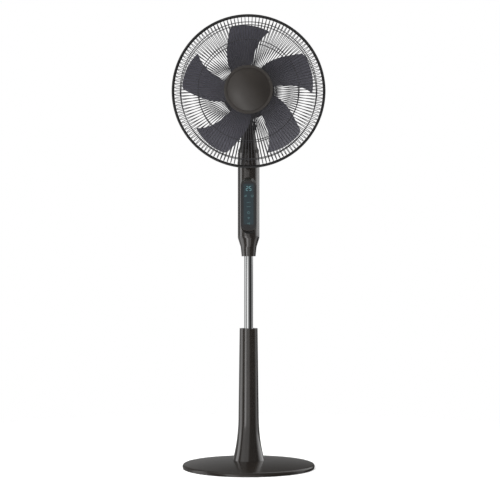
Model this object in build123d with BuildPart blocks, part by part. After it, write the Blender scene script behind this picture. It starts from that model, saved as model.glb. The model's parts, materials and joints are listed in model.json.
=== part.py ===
"""Pedestal fan: weighted base, telescopic pole, touch column and a guarded head that swings and tilts.

Millimetres. The origin is on the floor under the pole, +Z is up and the fan blows towards -Y.
"""
import os
from math import cos, hypot, pi, radians, sin, tan

from build123d import *

os.makedirs("parts", exist_ok=True)

# Heights, stacked from the floor up
column_height = 402
exposed_pole = 207
control_length = 296
neck_length = 75
tilt_to_fan_axis = 93

# Clearances
fit_gap = 0.05
running_gap = 0.06
moving_gap = 0.3

# Base
base_radius = 190
base_rim_height = 13
base_rim_round = 6
base_rim_draft = 1
base_boss_height = 24
base_boss_radius = 52
base_crown = 2
base_wall = 3
base_boss_wall = 9
base_floor_gap = 1
weight_radius = 158
weight_thickness = 4
foot_count = 5
foot_circle = 140
foot_radius = 9
foot_height = 7
foot_sides = 12

# Tube that is clamped in the base
tube_radius = 17
tube_wall = 1.8
base_nut_height = 5
base_nut_radius = 27
tube_collar_radius = 25
tube_collar_height = 8

# Flared column round the tube
column_top_radius = 25.8
column_waist_radius = 29.2
column_waist_height = 145
column_foot_radius = 45.5
column_wall = 2.5
column_flange = 3

# Twist lock at the top of the column
lock_ring_height = 22
lock_lip = 3
lock_lip_gap = 4.3
collet_wall = 3
collet_grip = 6.5
collet_taper = 3.6
collet_inset = 0.8
collet_slit = 1.5
collet_slits = 4

# Chrome pole
pole_radius = 12.7
pole_wall = 1.2
pole_insertion = 197
pole_bush_height = 10
pole_plug_length = 20
pole_socket_depth = 90
pole_socket_wall = 3

# Control column: half an ellipse in front, a flat back with round sides, then the taper at its lower end
control_half_width = 31
control_front = 35
control_rear = 28
rear_flat_half_width = 14
control_wall = 2.2
control_split = 2
collar_half_width = 20
collar_top_half_width = 22.8
collar_height = 27
taper_height = 26

# Touch panel in a pocket of the front, and its board
panel_width = 44
panel_length = 140
panel_corner = 18
panel_thickness = 2.2
panel_above_collar = 75
panel_front = 24
panel_frame = 1.5
pocket_slope = 40
panel_ledge = 3
board_width = 34
board_length = 130
board_thickness = 1.6

# Cord gland in the back of the control column
gland_above_collar = 105
gland_radius = 5
gland_bore = 3.2
gland_flange_radius = 7.5
gland_flange = 2
gland_snap_radius = 6
gland_snap = 1.5

# Swing drive
gear_module = 1
gear_teeth = 24
pinion_teeth = 12
gear_height = 8
gear_backlash = 0.3
gear_addendum = 0.85
gear_dedendum = 1.25
pressure_angle = 20
swing_shaft_radius = 8
swing_shaft_bore = 5
swing_bush_length = 14
swing_bush_wall = 4
swing_bush_flange = 3
shaft_clip_width = 3
pinion_stub_radius = 2.4
pinion_stub_length = 16
swing_motor_radius = 17.5
swing_motor_height = 22
swing_motor_gap = 2

# Neck and tilt hinge
neck_foot_radius = 30
neck_foot_band = 9
neck_radius = 20
neck_curve_height = 45
neck_shaft_depth = 40
ear_thickness = 8
ear_radius = 17
saddle_depth = 10
saddle_gap = 0.6
lug_half_width = 11.7
tilt_pin_radius = 4
tilt_head_radius = 8
tilt_head_height = 3

# Motor, placed by the distance in front of the pole's axis
motor_radius = 63
motor_wall = 2.5
motor_front = 52
motor_joint = 30
motor_back = -85
motor_shoulder = -45
motor_back_radius = 42
motor_face = 6
nose_radius = 26
nose_bore = 8
nose_length = 14
vent_count = 10
vent_length = 18
vent_width = 4
vent_circle = 26
stator_radius = 46
stator_bore = 24.5
stator_front = 16
stator_back = -10
winding_length = 12
winding_width = 16
air_gap = 0.5
shield_wall = 3
shield_lap = 6
shield_depth = 22
bearing_radius = 10
bearing_width = 7
shaft_radius = 4
shaft_back = -37
shaft_front = 122

# Guard
wire_count = 128
wire_size = 2.2
ring_size = 2.4
ring_sides = 48
seam_front = 105
seam_gap = 0.6
guard_radius = 216
rim_wall = 4.5
rim_lip = 2
rim_lip_cover = 2.5
inner_ring_inset = 68.5
outer_ring_inset = 18.5
wire_bend_inset = 59.5
wire_shoulder_inset = 12.5
rear_plate_radius = 74
rear_plate_thickness = 1.5
rear_wire_start = 62
rear_bend_depth = 41
rear_shoulder_depth = 27
guard_nut_radius = 42
guard_nut_height = 8
front_wire_start = 52
front_start_depth = 45.5
front_bend_depth = 36.5
front_shoulder_depth = 26
front_plate_radius = 60
front_plate_thickness = 2
cap_radius = 68
cap_rim_width = 8.5
cap_rim_height = 4
cap_step = 1
cap_dome_height = 15
cap_wall = 2.5
cap_boss_radius = 9

# Blade
blade_count = 5
blade_tip_gap = 23
blade_thickness = 2.2
blade_axis_angle = 98
blade_root_slope = 0.68
blade_tip_slope = 0.28
blade_root_centre = 95
blade_tip_centre = 104
blade_camber = 0.0014
blade_half_span = 95
blade_slab_start = 20
blade_slab_spare = 6
hub_radius = 44
hub_back = 76
hub_front = 112
hub_wall = 3
hub_sleeve_radius = 9
hub_round = 5
drive_pin_radius = 1.5
drive_pin_length = 22
blade_nut_radius = 14
blade_nut_height = 13
blade_nut_side = 4.3

# Blade outline seen from the front, as (inset from the tip circle, angle from the right)
trailing_root_angle = 133
trailing_inner = (107, 131)
trailing_outer = (41, 114)
trailing_corner = (5, 107)
tip_behind = (1, 104.5)
tip_crest = (0, 101)
tip_ahead = (1.5, 86)
leading_corner = (7, 70.6)
leading_outer = (53, 79)
leading_inner = (103, 83)
leading_root_angle = 86

# Places worked out from the sizes
weight_top = foot_height + weight_thickness
column_top = column_height - lock_ring_height
column_slope = (column_waist_radius - column_top_radius) / (column_height - column_waist_height)
column_end_radius = column_top_radius + column_slope * lock_ring_height
tube_bore = tube_radius - tube_wall
collet_radius = tube_radius + collet_wall
collet_shoulder = column_height - lock_lip - moving_gap
collet_top = column_height - collet_inset
tube_top = collet_shoulder - collet_grip
pole_bottom = column_height - pole_insertion
control_bottom = column_height + exposed_pole
control_top = control_bottom + control_length
pole_top = control_bottom + pole_socket_depth
tilt_height = control_top + neck_length
fan_height = tilt_height + tilt_to_fan_axis
gear_radius = gear_module * gear_teeth / 2
pinion_radius = gear_module * pinion_teeth / 2
gear_centres = gear_radius + pinion_radius
bush_bottom = control_top - swing_bush_length
gear_top = bush_bottom - moving_gap
gear_bottom = gear_top - gear_height
clip_bottom = gear_bottom - shaft_clip_width
swing_motor_top = clip_bottom - swing_motor_gap
neck_bottom = control_top + moving_gap
ear_inside = lug_half_width + moving_gap
shield_radius = stator_radius + fit_gap + shield_wall
shield_front = stator_front + shield_depth
shield_back = stator_back - shield_depth
flat_share = cos(pi / ring_sides)
rim_bore = guard_radius - rim_wall
seam_radius = rim_bore * flat_share - moving_gap - ring_size / 2
wire_end_radius = (seam_radius - ring_size / 2) * flat_share - wire_size / 2 - fit_gap
inner_ring_radius = seam_radius - inner_ring_inset
outer_ring_radius = seam_radius - outer_ring_inset
wire_bend_radius = seam_radius - wire_bend_inset
wire_shoulder_radius = seam_radius - wire_shoulder_inset
blade_tip_radius = seam_radius - blade_tip_gap

# Head planes: fan_plane draws (distance in front, radius), face_plane is the view from the front
fan_axis = Axis((0, 0, fan_height), (0, -1, 0))
fan_plane = Plane(origin=(0, 0, fan_height), x_dir=(0, -1, 0), z_dir=(-1, 0, 0))
face_plane = Plane(origin=(0, 0, fan_height), x_dir=(1, 0, 0), z_dir=(0, -1, 0))


def save(piece, name):
    """Label a finished piece and write it under its own name."""
    piece.part.label = name
    export_step(piece.part, f"parts/{name}.step")


def turned(plane, axis, outline):
    """Revolve a straight-sided outline about an axis."""
    with BuildPart() as piece:
        with BuildSketch(plane):
            Polygon(*outline, align=None)
        revolve(axis=axis)
    return piece


def tube_piece(bottom, top, bore, radius):
    """A plain ring about the pole's axis."""
    return turned(Plane.XZ, Axis.Z, [(bore, bottom), (radius, bottom), (radius, top), (bore, top)])


def head_ring(back, front, bore, radius):
    """A plain ring about the fan's axis."""
    return turned(fan_plane, fan_axis, [(back, bore), (front, bore), (front, radius), (back, radius)])


# Base
with BuildPart() as base_cover:
    with BuildSketch(Plane.XZ):
        with BuildLine():
            hole = tube_radius + fit_gap
            rim_edge = base_radius - base_rim_round
            half_round = base_rim_round * (1 - cos(radians(45)))
            crown_radius = (base_boss_radius + rim_edge) / 2
            crown_height = (base_boss_height + base_rim_height) / 2 + base_crown
            under_boss = hole + base_boss_wall
            Line((hole, weight_top), (hole, base_boss_height))
            Line((hole, base_boss_height), (base_boss_radius, base_boss_height))
            ThreePointArc(
                (base_boss_radius, base_boss_height),
                (crown_radius, crown_height),
                (rim_edge, base_rim_height),
            )
            ThreePointArc(
                (rim_edge, base_rim_height),
                (base_radius - half_round, base_rim_height - half_round),
                (base_radius, base_rim_height - base_rim_round),
            )
            Polyline(
                (base_radius, base_rim_height - base_rim_round),
                (base_radius - base_rim_draft, base_floor_gap),
                (base_radius - base_rim_draft - base_wall, base_floor_gap),
                (rim_edge, base_rim_height - base_wall),
                (base_boss_radius, base_boss_height - base_wall),
                (under_boss, base_boss_height - base_wall),
                (under_boss, weight_top),
                (hole, weight_top),
            )
        make_face()
    revolve(axis=Axis.Z)
save(base_cover, "base_cover")

base_weight = tube_piece(foot_height, weight_top, tube_radius + fit_gap, weight_radius)
save(base_weight, "base_weight")

with BuildPart() as base_feet:
    with BuildSketch():
        with PolarLocations(foot_circle, foot_count, start_angle=90):
            RegularPolygon(foot_radius, foot_sides)
    extrude(amount=foot_height)
save(base_feet, "base_feet")

with BuildPart() as base_nut:
    with BuildSketch(Plane.XY.offset(foot_height - base_nut_height)):
        RegularPolygon(base_nut_radius, 6)
        Circle(tube_radius + fit_gap, mode=Mode.SUBTRACT)
    extrude(amount=base_nut_height)
save(base_nut, "base_nut")

outer_tube = tube_piece(foot_height - base_nut_height, tube_top, tube_bore, tube_radius)
save(outer_tube, "outer_tube")

tube_collar = tube_piece(
    base_boss_height, base_boss_height + tube_collar_height, tube_radius + fit_gap, tube_collar_radius
)
save(tube_collar, "tube_collar")

# Flared column
with BuildPart() as column_cover:
    with BuildSketch(Plane.XZ):
        with BuildLine():
            taper_down = (column_slope, -1)
            outer_waist = (column_waist_radius, column_waist_height)
            inner_waist = (column_waist_radius - column_wall, column_waist_height)
            outer_foot = (column_foot_radius, base_boss_height)
            inner_foot = (column_foot_radius - column_wall, base_boss_height)
            flange_hole = tube_radius + fit_gap
            flange_under = column_top - column_flange
            inner_top = column_end_radius + column_slope * column_flange - column_wall
            Line((column_end_radius, column_top), outer_waist)
            TangentArc(outer_waist, outer_foot, tangent=taper_down)
            Line(outer_foot, inner_foot)
            TangentArc(inner_waist, inner_foot, tangent=taper_down)
            Polyline(
                inner_waist,
                (inner_top, flange_under),
                (flange_hole, flange_under),
                (flange_hole, column_top),
                (column_end_radius, column_top),
            )
        make_face()
    revolve(axis=Axis.Z)
save(column_cover, "column_cover")

with BuildPart() as pole_collet:
    with BuildSketch(Plane.XZ):
        Polygon(
            (tube_radius + fit_gap, column_top),
            (collet_radius, column_top),
            (collet_radius, tube_top),
            (collet_radius - collet_taper, collet_shoulder),
            (collet_radius - collet_taper, collet_top),
            (pole_radius + running_gap, collet_top),
            (pole_radius + running_gap, tube_top + fit_gap),
            (tube_radius + fit_gap, tube_top + fit_gap),
            align=None,
        )
    revolve(axis=Axis.Z)
    with BuildSketch(Plane.XY.offset(tube_top + 2 * fit_gap)):
        with PolarLocations(collet_radius, collet_slits):
            Rectangle(2 * collet_wall + tube_radius - pole_radius, collet_slit)
    extrude(amount=collet_top - tube_top, mode=Mode.SUBTRACT)
save(pole_collet, "pole_collet")

height_lock_ring = turned(
    Plane.XZ,
    Axis.Z,
    [
        (collet_radius + moving_gap, column_top + moving_gap),
        (column_end_radius - column_slope * moving_gap, column_top + moving_gap),
        (column_top_radius, column_height),
        (pole_radius + lock_lip_gap, column_height),
        (pole_radius + lock_lip_gap, column_height - lock_lip),
        (collet_radius + moving_gap, column_height - lock_lip),
    ],
)
save(height_lock_ring, "height_lock_ring")

# Chrome pole
inner_pole = tube_piece(pole_bottom, pole_top, pole_radius - pole_wall, pole_radius)
save(inner_pole, "inner_pole")

with BuildPart() as pole_foot_bush:
    with BuildSketch(Plane.XY.offset(pole_bottom - pole_bush_height)):
        Circle(tube_bore - running_gap)
    extrude(amount=pole_bush_height)
    with BuildSketch(Plane.XY.offset(pole_bottom)):
        Circle(pole_radius - pole_wall - fit_gap)
    extrude(amount=pole_plug_length)
save(pole_foot_bush, "pole_foot_bush")

# Control column
control_levels = [
    (control_bottom, collar_half_width),
    (control_bottom + collar_height, collar_top_half_width),
    (control_bottom + collar_height + taper_height, control_half_width),
    (control_top, control_half_width),
]


def control_form(wall):
    """The control column's outer form, drawn in by a wall; its ends are cut back by the wall too."""
    with BuildPart() as form:
        for index, (level, half_width) in enumerate(control_levels):
            share = (half_width - wall) / control_half_width
            end_cut = wall * ((index == 0) - (index == len(control_levels) - 1))
            flat = rear_flat_half_width * share
            side = half_width - wall - flat
            back = control_rear * share
            front = control_front * share
            with BuildSketch(Plane.XY.offset(level + end_cut)):
                with BuildLine():
                    EllipticalCenterArc((0, 0), half_width - wall, front, start_angle=180, arc_size=180)
                    EllipticalCenterArc((flat, 0), side, back, start_angle=0, arc_size=90)
                    Line((flat, back), (-flat, back))
                    EllipticalCenterArc((-flat, 0), side, back, start_angle=90, arc_size=90)
                make_face()
        loft(ruled=True)
    return form


def panel_block(margin, back, depth, slope=0):
    """A block of the panel's outline with a margin, from its back forwards; its sides may slope outwards."""
    with BuildPart() as block:
        with BuildSketch(Plane.XZ.offset(back)):
            with Locations((0, panel_middle)):
                RectangleRounded(panel_width + 2 * margin, panel_length + 2 * margin, panel_corner + margin)
        extrude(amount=depth, taper=-slope)
    return block


panel_middle = control_bottom + panel_above_collar + panel_length / 2
panel_back = panel_front - panel_thickness
pocket_back = panel_back - control_wall
pocket_depth = control_front - panel_front
wall_depth = control_front - pocket_back
control_cavity = control_form(control_wall)
control_body = control_form(0)
with BuildPart() as pocket_wall:
    add(panel_block(panel_frame + control_wall, pocket_back, wall_depth, pocket_slope).part)
    add(control_body.part, mode=Mode.INTERSECT)
with BuildPart() as control_shell:
    add(control_body.part)
    add(control_cavity.part, mode=Mode.SUBTRACT)
    add(pocket_wall.part)
    add(panel_block(panel_frame, panel_front, pocket_depth, pocket_slope).part, mode=Mode.SUBTRACT)
    add(panel_block(fit_gap, panel_back, panel_thickness).part, mode=Mode.SUBTRACT)
    with BuildSketch(Plane.XZ.offset(panel_back)):
        with Locations((0, panel_middle)):
            Rectangle(board_width - 2 * panel_ledge, board_length - 2 * panel_ledge)
    extrude(amount=-control_wall, mode=Mode.SUBTRACT)
    with BuildSketch(Plane.XY.offset(control_bottom)):
        Circle(pole_radius + fit_gap)
    extrude(amount=control_wall, mode=Mode.SUBTRACT)
    with BuildSketch(Plane.XY.offset(control_top)):
        Circle(swing_shaft_radius + swing_bush_wall + fit_gap)
    extrude(amount=-control_wall, mode=Mode.SUBTRACT)

with BuildPart() as control_front_half:
    add(control_shell.part)
    split(bisect_by=Plane.XZ.offset(-control_split), keep=Keep.TOP)
save(control_front_half, "control_front")

gland_height = control_bottom + gland_above_collar
with BuildPart() as control_rear_half:
    add(control_shell.part)
    split(bisect_by=Plane.XZ.offset(-control_split), keep=Keep.BOTTOM)
    with BuildSketch(Plane.XZ.offset(-control_rear)):
        with Locations((0, gland_height)):
            Circle(gland_radius + fit_gap)
    extrude(amount=control_wall, mode=Mode.SUBTRACT)
save(control_rear_half, "control_rear")

display_panel = panel_block(0, panel_back, panel_thickness)
save(display_panel, "display_panel")

cavity_share = (control_half_width - control_wall) / control_half_width
cavity_rear = control_rear * cavity_share
with BuildPart() as control_board:
    with BuildSketch(Plane.XZ.offset(pocket_back - fit_gap)):
        with Locations((0, panel_middle)):
            Rectangle(board_width, board_length)
    extrude(amount=-board_thickness)
save(control_board, "control_board")

gland_inside = cavity_rear - fit_gap
cord_gland = turned(
    Plane(origin=(0, 0, gland_height), x_dir=(0, 1, 0), z_dir=(1, 0, 0)),
    Axis((0, 0, gland_height), (0, 1, 0)),
    [
        (gland_inside - gland_snap, gland_bore),
        (gland_inside - gland_snap, gland_radius),
        (gland_inside, gland_snap_radius),
        (gland_inside, gland_radius),
        (control_rear, gland_radius),
        (control_rear, gland_flange_radius),
        (control_rear + gland_flange, gland_radius),
        (control_rear + gland_flange, gland_bore),
    ],
)
save(cord_gland, "cord_gland")

pole_socket = tube_piece(
    control_bottom + control_wall, pole_top, pole_radius + fit_gap, pole_radius + pole_socket_wall
)
save(pole_socket, "pole_socket")

# Swing drive inside the top of the control column
def gear_outline(teeth, first_tooth):
    """Corners of a straight-flanked spur gear, with its first tooth at the given angle."""
    pitch_radius = gear_module * teeth / 2
    root = pitch_radius - gear_dedendum * gear_module
    tip = pitch_radius + gear_addendum * gear_module
    half_pitch_tooth = pi * gear_module / 4 - gear_backlash / 2
    flank = tan(radians(pressure_angle))
    corners = []
    for tooth in range(teeth):
        middle = radians(first_tooth + 360 * tooth / teeth)
        for radius, side in ((root, -1), (tip, -1), (tip, 1), (root, 1)):
            half_tooth = half_pitch_tooth + (pitch_radius - radius) * flank
            angle = middle + side * half_tooth / radius
            corners.append((radius * cos(angle), radius * sin(angle)))
    return corners


with BuildPart() as swing_gear:
    with BuildSketch(Plane.XY.offset(gear_bottom)):
        Polygon(*gear_outline(gear_teeth, 90), align=None)
        Circle(swing_shaft_radius + fit_gap, mode=Mode.SUBTRACT)
    extrude(amount=gear_height)
save(swing_gear, "swing_gear")

pinion_plane = Plane.XY.offset(gear_bottom).move(Location((0, gear_centres, 0)))
with BuildPart() as swing_pinion:
    with BuildSketch(pinion_plane):
        Polygon(*gear_outline(pinion_teeth, 270 + 180 / pinion_teeth), align=None)
    extrude(amount=gear_height)
    with BuildSketch(pinion_plane):
        Circle(pinion_stub_radius)
    extrude(amount=-pinion_stub_length)
save(swing_pinion, "swing_pinion")

swing_motor_middle = cavity_rear - swing_motor_radius - 2 * fit_gap
with BuildPart() as swing_motor:
    with BuildSketch(Plane.XY.offset(swing_motor_top)):
        with Locations((0, swing_motor_middle)):
            Circle(swing_motor_radius)
        with Locations((0, gear_centres)):
            Circle(pinion_stub_radius + running_gap, mode=Mode.SUBTRACT)
    extrude(amount=-swing_motor_height)
save(swing_motor, "swing_motor")

swing_shaft = tube_piece(
    clip_bottom - shaft_clip_width / 2, neck_bottom + neck_shaft_depth, swing_shaft_bore, swing_shaft_radius
)
save(swing_shaft, "swing_shaft")

shaft_clip = tube_piece(
    clip_bottom, gear_bottom, swing_shaft_radius + fit_gap, swing_shaft_radius + shaft_clip_width
)
save(shaft_clip, "shaft_clip")

bush_bore = swing_shaft_radius + running_gap
bush_radius = swing_shaft_radius + swing_bush_wall
flange_top = control_top - control_wall
swing_bush = turned(
    Plane.XZ,
    Axis.Z,
    [
        (bush_bore, bush_bottom),
        (bush_radius, bush_bottom),
        (bush_radius, flange_top - swing_bush_flange),
        (bush_radius + swing_bush_flange, flange_top - swing_bush_flange),
        (bush_radius + swing_bush_flange, flange_top),
        (bush_radius, flange_top),
        (bush_radius, control_top),
        (bush_bore, control_top),
    ],
)
save(swing_bush, "swing_bush")

# Neck and tilt hinge
ear_seat = tilt_height - saddle_depth
with BuildPart() as neck_yoke:
    with BuildSketch(Plane.XZ):
        with BuildLine():
            curve_bottom = (neck_foot_radius, neck_bottom + neck_foot_band)
            curve_top = (neck_radius, neck_bottom + neck_curve_height)
            Polyline(
                curve_top,
                (neck_radius, ear_seat),
                (0, ear_seat),
                (0, neck_bottom + neck_shaft_depth),
                (swing_shaft_radius + fit_gap, neck_bottom + neck_shaft_depth),
                (swing_shaft_radius + fit_gap, neck_bottom),
                (neck_foot_radius, neck_bottom),
                curve_bottom,
            )
            TangentArc(curve_top, curve_bottom, tangent=(0, -1))
        make_face()
    revolve(axis=Axis.Z)
    for ear_plane in (Plane.YZ.offset(ear_inside), Plane.YZ.offset(-ear_inside - ear_thickness)):
        with BuildSketch(ear_plane):
            with Locations((0, tilt_height)):
                Circle(ear_radius)
            with Locations((0, (ear_seat + tilt_height) / 2)):
                Rectangle(2 * ear_radius, tilt_height - ear_seat)
        extrude(amount=ear_thickness)
    with BuildSketch(Plane.YZ):
        with Locations((0, tilt_height)):
            Circle(tilt_pin_radius + fit_gap)
    extrude(amount=neck_foot_radius, both=True, mode=Mode.SUBTRACT)
    with BuildSketch(Plane.YZ):
        with Locations((0, tilt_height)):
            Circle(ear_radius + saddle_gap)
    extrude(amount=ear_inside, both=True, mode=Mode.SUBTRACT)
save(neck_yoke, "neck_yoke")

ear_outside = ear_inside + ear_thickness
with BuildPart() as tilt_pin:
    with BuildSketch(Plane.YZ.offset(-ear_outside - tilt_head_height)):
        with Locations((0, tilt_height)):
            Circle(tilt_pin_radius)
    extrude(amount=2 * ear_outside + tilt_head_height)
    with BuildSketch(Plane.YZ.offset(ear_outside)):
        with Locations((0, tilt_height)):
            Circle(tilt_head_radius)
    extrude(amount=tilt_head_height)
save(tilt_pin, "tilt_pin")

with BuildPart() as tilt_nut:
    with BuildSketch(Plane.YZ.offset(-ear_outside)):
        with Locations((0, tilt_height)):
            RegularPolygon(tilt_head_radius, 6)
            Circle(tilt_pin_radius + fit_gap, mode=Mode.SUBTRACT)
    extrude(amount=-tilt_head_height)
save(tilt_nut, "tilt_nut")

lug_top = fan_height - shield_radius + shield_wall
with BuildPart() as tilt_lug:
    with BuildSketch(Plane.YZ):
        with Locations((0, tilt_height)):
            Circle(ear_radius)
        with Locations((0, (tilt_height + lug_top) / 2)):
            Rectangle(2 * ear_radius, lug_top - tilt_height)
        with Locations((0, tilt_height)):
            Circle(tilt_pin_radius + running_gap, mode=Mode.SUBTRACT)
    extrude(amount=lug_half_width, both=True)
    add(head_ring(shield_back, shield_front, 0, shield_radius + fit_gap).part, mode=Mode.SUBTRACT)
save(tilt_lug, "tilt_lug")

# Motor housing
with BuildPart() as motor_front_cover:
    with BuildSketch(fan_plane):
        Polygon(
            (motor_joint, motor_radius - motor_wall),
            (motor_joint, motor_radius),
            (motor_front - motor_wall, motor_radius),
            (motor_front, motor_radius - motor_wall),
            (motor_front, nose_radius),
            (motor_front + nose_length, nose_radius),
            (motor_front + nose_length, nose_bore),
            (motor_front - motor_face, nose_bore),
            (motor_front - motor_face, stator_bore),
            (shield_front, stator_bore),
            (shield_front, stator_bore + shield_wall),
            (motor_front - motor_face, stator_bore + shield_wall),
            (motor_front - motor_face, motor_radius - motor_wall),
            align=None,
        )
    revolve(axis=fan_axis)
save(motor_front_cover, "motor_front_cover")

with BuildPart() as motor_rear_cover:
    with BuildSketch(fan_plane):
        with BuildLine():
            inner_radius = motor_radius - motor_wall
            inner_back_radius = motor_back_radius - motor_wall
            Polyline(
                (motor_shoulder, inner_radius),
                (motor_joint, inner_radius),
                (motor_joint, motor_radius),
                (motor_shoulder, motor_radius),
            )
            TangentArc((motor_shoulder, motor_radius), (motor_back, motor_back_radius), tangent=(-1, 0))
            Polyline(
                (motor_back, motor_back_radius),
                (motor_back, 0),
                (motor_back + motor_wall, 0),
                (motor_back + motor_wall, inner_back_radius),
            )
            TangentArc(
                (motor_shoulder, inner_radius), (motor_back + motor_wall, inner_back_radius), tangent=(-1, 0)
            )
        make_face()
    revolve(axis=fan_axis)
    with BuildSketch(face_plane.offset(motor_back)):
        with PolarLocations(vent_circle, vent_count):
            Rectangle(vent_length, vent_width)
    extrude(amount=motor_wall, mode=Mode.SUBTRACT)
    with BuildSketch(Plane.XY.offset(fan_height - motor_radius)):
        Rectangle(2 * (lug_half_width + moving_gap), 2 * (ear_radius + moving_gap))
    extrude(amount=motor_radius / 2, mode=Mode.SUBTRACT)
save(motor_rear_cover, "motor_rear_cover")

# Motor, fixed part
def shield(stator_end, direction):
    """An end bell: rim over the stator, plate, and a hub round the bearing."""
    rim_start = stator_end - direction * shield_lap
    plate_outside = stator_end + direction * shield_depth
    plate_inside = plate_outside - direction * shield_wall
    hub_inside = plate_outside - direction * bearing_width
    hub_bore = bearing_radius + fit_gap
    hub_outside = bearing_radius + shield_wall
    rim_inside = stator_radius + fit_gap
    return turned(
        fan_plane,
        fan_axis,
        [
            (rim_start, rim_inside),
            (rim_start, shield_radius),
            (plate_outside, shield_radius),
            (plate_outside, hub_bore),
            (hub_inside, hub_bore),
            (hub_inside, hub_outside),
            (plate_inside, hub_outside),
            (plate_inside, rim_inside),
        ],
    )


save(shield(stator_front, 1), "front_shield")
save(shield(stator_back, -1), "rear_shield")
save(head_ring(stator_back, stator_front, stator_bore, stator_radius), "stator_core")

winding_middle = (stator_bore + stator_radius) / 2
with BuildPart() as stator_winding:
    with BuildSketch(fan_plane):
        for end in (stator_front + winding_length / 2, stator_back - winding_length / 2):
            with Locations((end, winding_middle)):
                Rectangle(winding_length, winding_width)
    revolve(axis=fan_axis)
save(stator_winding, "stator_winding")

for bearing_name, bearing_back in (
    ("front_bearing", shield_front - bearing_width),
    ("rear_bearing", shield_back),
):
    bearing = head_ring(
        bearing_back, bearing_back + bearing_width, shaft_radius + running_gap, bearing_radius
    )
    save(bearing, bearing_name)

# What turns with the blade
rotor = head_ring(stator_back, stator_front, shaft_radius + fit_gap, stator_bore - air_gap)
save(rotor, "rotor")

drive_pin_front = hub_back - drive_pin_radius - fit_gap
with BuildPart() as motor_shaft:
    with BuildSketch(face_plane.offset(shaft_back)):
        Circle(shaft_radius)
    extrude(amount=shaft_front - shaft_back)
    with BuildSketch(Plane.YZ):
        with Locations((-drive_pin_front, fan_height)):
            Circle(drive_pin_radius + fit_gap)
    extrude(amount=shaft_radius, both=True, mode=Mode.SUBTRACT)
save(motor_shaft, "motor_shaft")

with BuildPart() as drive_pin:
    with BuildSketch(Plane.YZ):
        with Locations((-drive_pin_front, fan_height)):
            Circle(drive_pin_radius)
    extrude(amount=drive_pin_length / 2, both=True)
save(drive_pin, "drive_pin")

blade_nut_bore = shaft_radius + fit_gap
with BuildPart() as blade_nut:
    with BuildSketch(fan_plane):
        with BuildLine():
            nut_edge = hub_front + blade_nut_side
            nut_top = hub_front + blade_nut_height
            Polyline(
                (nut_top, 0),
                (shaft_front + fit_gap, 0),
                (shaft_front + fit_gap, blade_nut_bore),
                (hub_front, blade_nut_bore),
                (hub_front, blade_nut_radius),
                (nut_edge, blade_nut_radius),
            )
            TangentArc((nut_top, 0), (nut_edge, blade_nut_radius), tangent=(0, 1))
        make_face()
    revolve(axis=fan_axis)
save(blade_nut, "blade_nut")


# Blade: a cambered, twisted strip cut to the outline seen from the front
def from_front(radius, angle):
    """A point of the front view, counter-clockwise from the right."""
    return (radius * cos(radians(angle)), radius * sin(radians(angle)))


def from_tip(place):
    """A point of the blade's outline, given by its inset from the tip circle and its angle."""
    inset, angle = place
    return from_front(blade_tip_radius - inset, angle)


slab_end = blade_tip_radius + blade_slab_spare
with BuildPart() as one_blade:
    outward = Vector(*from_front(1, blade_axis_angle), 0)
    across = Vector(*from_front(1, blade_axis_angle + 90), 0)
    for reach, slope, middle in (
        (blade_slab_start, blade_root_slope, blade_root_centre),
        (slab_end, blade_tip_slope, blade_tip_centre),
    ):
        bend = blade_camber * blade_half_span**2
        low = middle - slope * blade_half_span + bend
        high = middle + slope * blade_half_span + bend
        with BuildSketch(Plane(origin=outward * reach, x_dir=across, z_dir=outward)):
            with BuildLine():
                ThreePointArc((-blade_half_span, low), (0, middle), (blade_half_span, high))
                Line((blade_half_span, high), (blade_half_span, high + blade_thickness))
                ThreePointArc(
                    (blade_half_span, high + blade_thickness),
                    (0, middle + blade_thickness),
                    (-blade_half_span, low + blade_thickness),
                )
                Line((-blade_half_span, low + blade_thickness), (-blade_half_span, low))
            make_face()
    loft(ruled=True)
    with BuildSketch():
        with BuildLine():
            trailing_root = from_front(hub_radius - hub_wall / 2, trailing_root_angle)
            leading_root = from_front(hub_radius - hub_wall / 2, leading_root_angle)
            trailing_end = from_tip(trailing_corner)
            leading_start = from_tip(leading_corner)
            Spline(trailing_root, from_tip(trailing_inner), from_tip(trailing_outer), trailing_end)
            ThreePointArc(trailing_end, from_tip(tip_behind), from_tip(tip_crest))
            ThreePointArc(from_tip(tip_crest), from_tip(tip_ahead), leading_start)
            Spline(leading_start, from_tip(leading_outer), from_tip(leading_inner), leading_root)
            Line(leading_root, trailing_root)
        make_face()
    extrude(amount=2 * seam_front, mode=Mode.INTERSECT)

with BuildPart(face_plane) as fan_blade:
    with BuildSketch(fan_plane):
        with BuildLine():
            sleeve_bore = shaft_radius + fit_gap
            Polyline(
                (hub_front - hub_round, hub_radius),
                (hub_back, hub_radius),
                (hub_back, hub_radius - hub_wall),
                (hub_front - hub_wall, hub_radius - hub_wall),
                (hub_front - hub_wall, hub_sleeve_radius),
                (hub_back, hub_sleeve_radius),
                (hub_back, sleeve_bore),
                (hub_front, sleeve_bore),
                (hub_front, hub_radius - hub_round),
            )
            round_start = (hub_front - hub_round, hub_radius)
            round_end = (hub_front, hub_radius - hub_round)
            TangentArc(round_start, round_end, tangent=(1, 0))
        make_face()
    revolve(axis=fan_axis)
    with PolarLocations(0, blade_count):
        add(one_blade.part)
save(fan_blade, "fan_blade")


# Guards: each wire is a bent strip in its own radial plane, as (radius, distance in front)
def wire_route(start, start_front, bend_front, shoulder_front_place, end_front):
    """Points of a guard wire from the middle out to the seam."""
    return [
        (start, start_front),
        (wire_bend_radius, bend_front),
        (wire_shoulder_radius, shoulder_front_place),
        (wire_end_radius, end_front),
    ]


def front_at(route, radius):
    """How far in front a wire's middle line is at a radius."""
    for (near, near_front), (far, far_front) in zip(route, route[1:]):
        if near <= radius <= far:
            return near_front + (far_front - near_front) * (radius - near) / (far - near)
    return route[-1][1]


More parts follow.
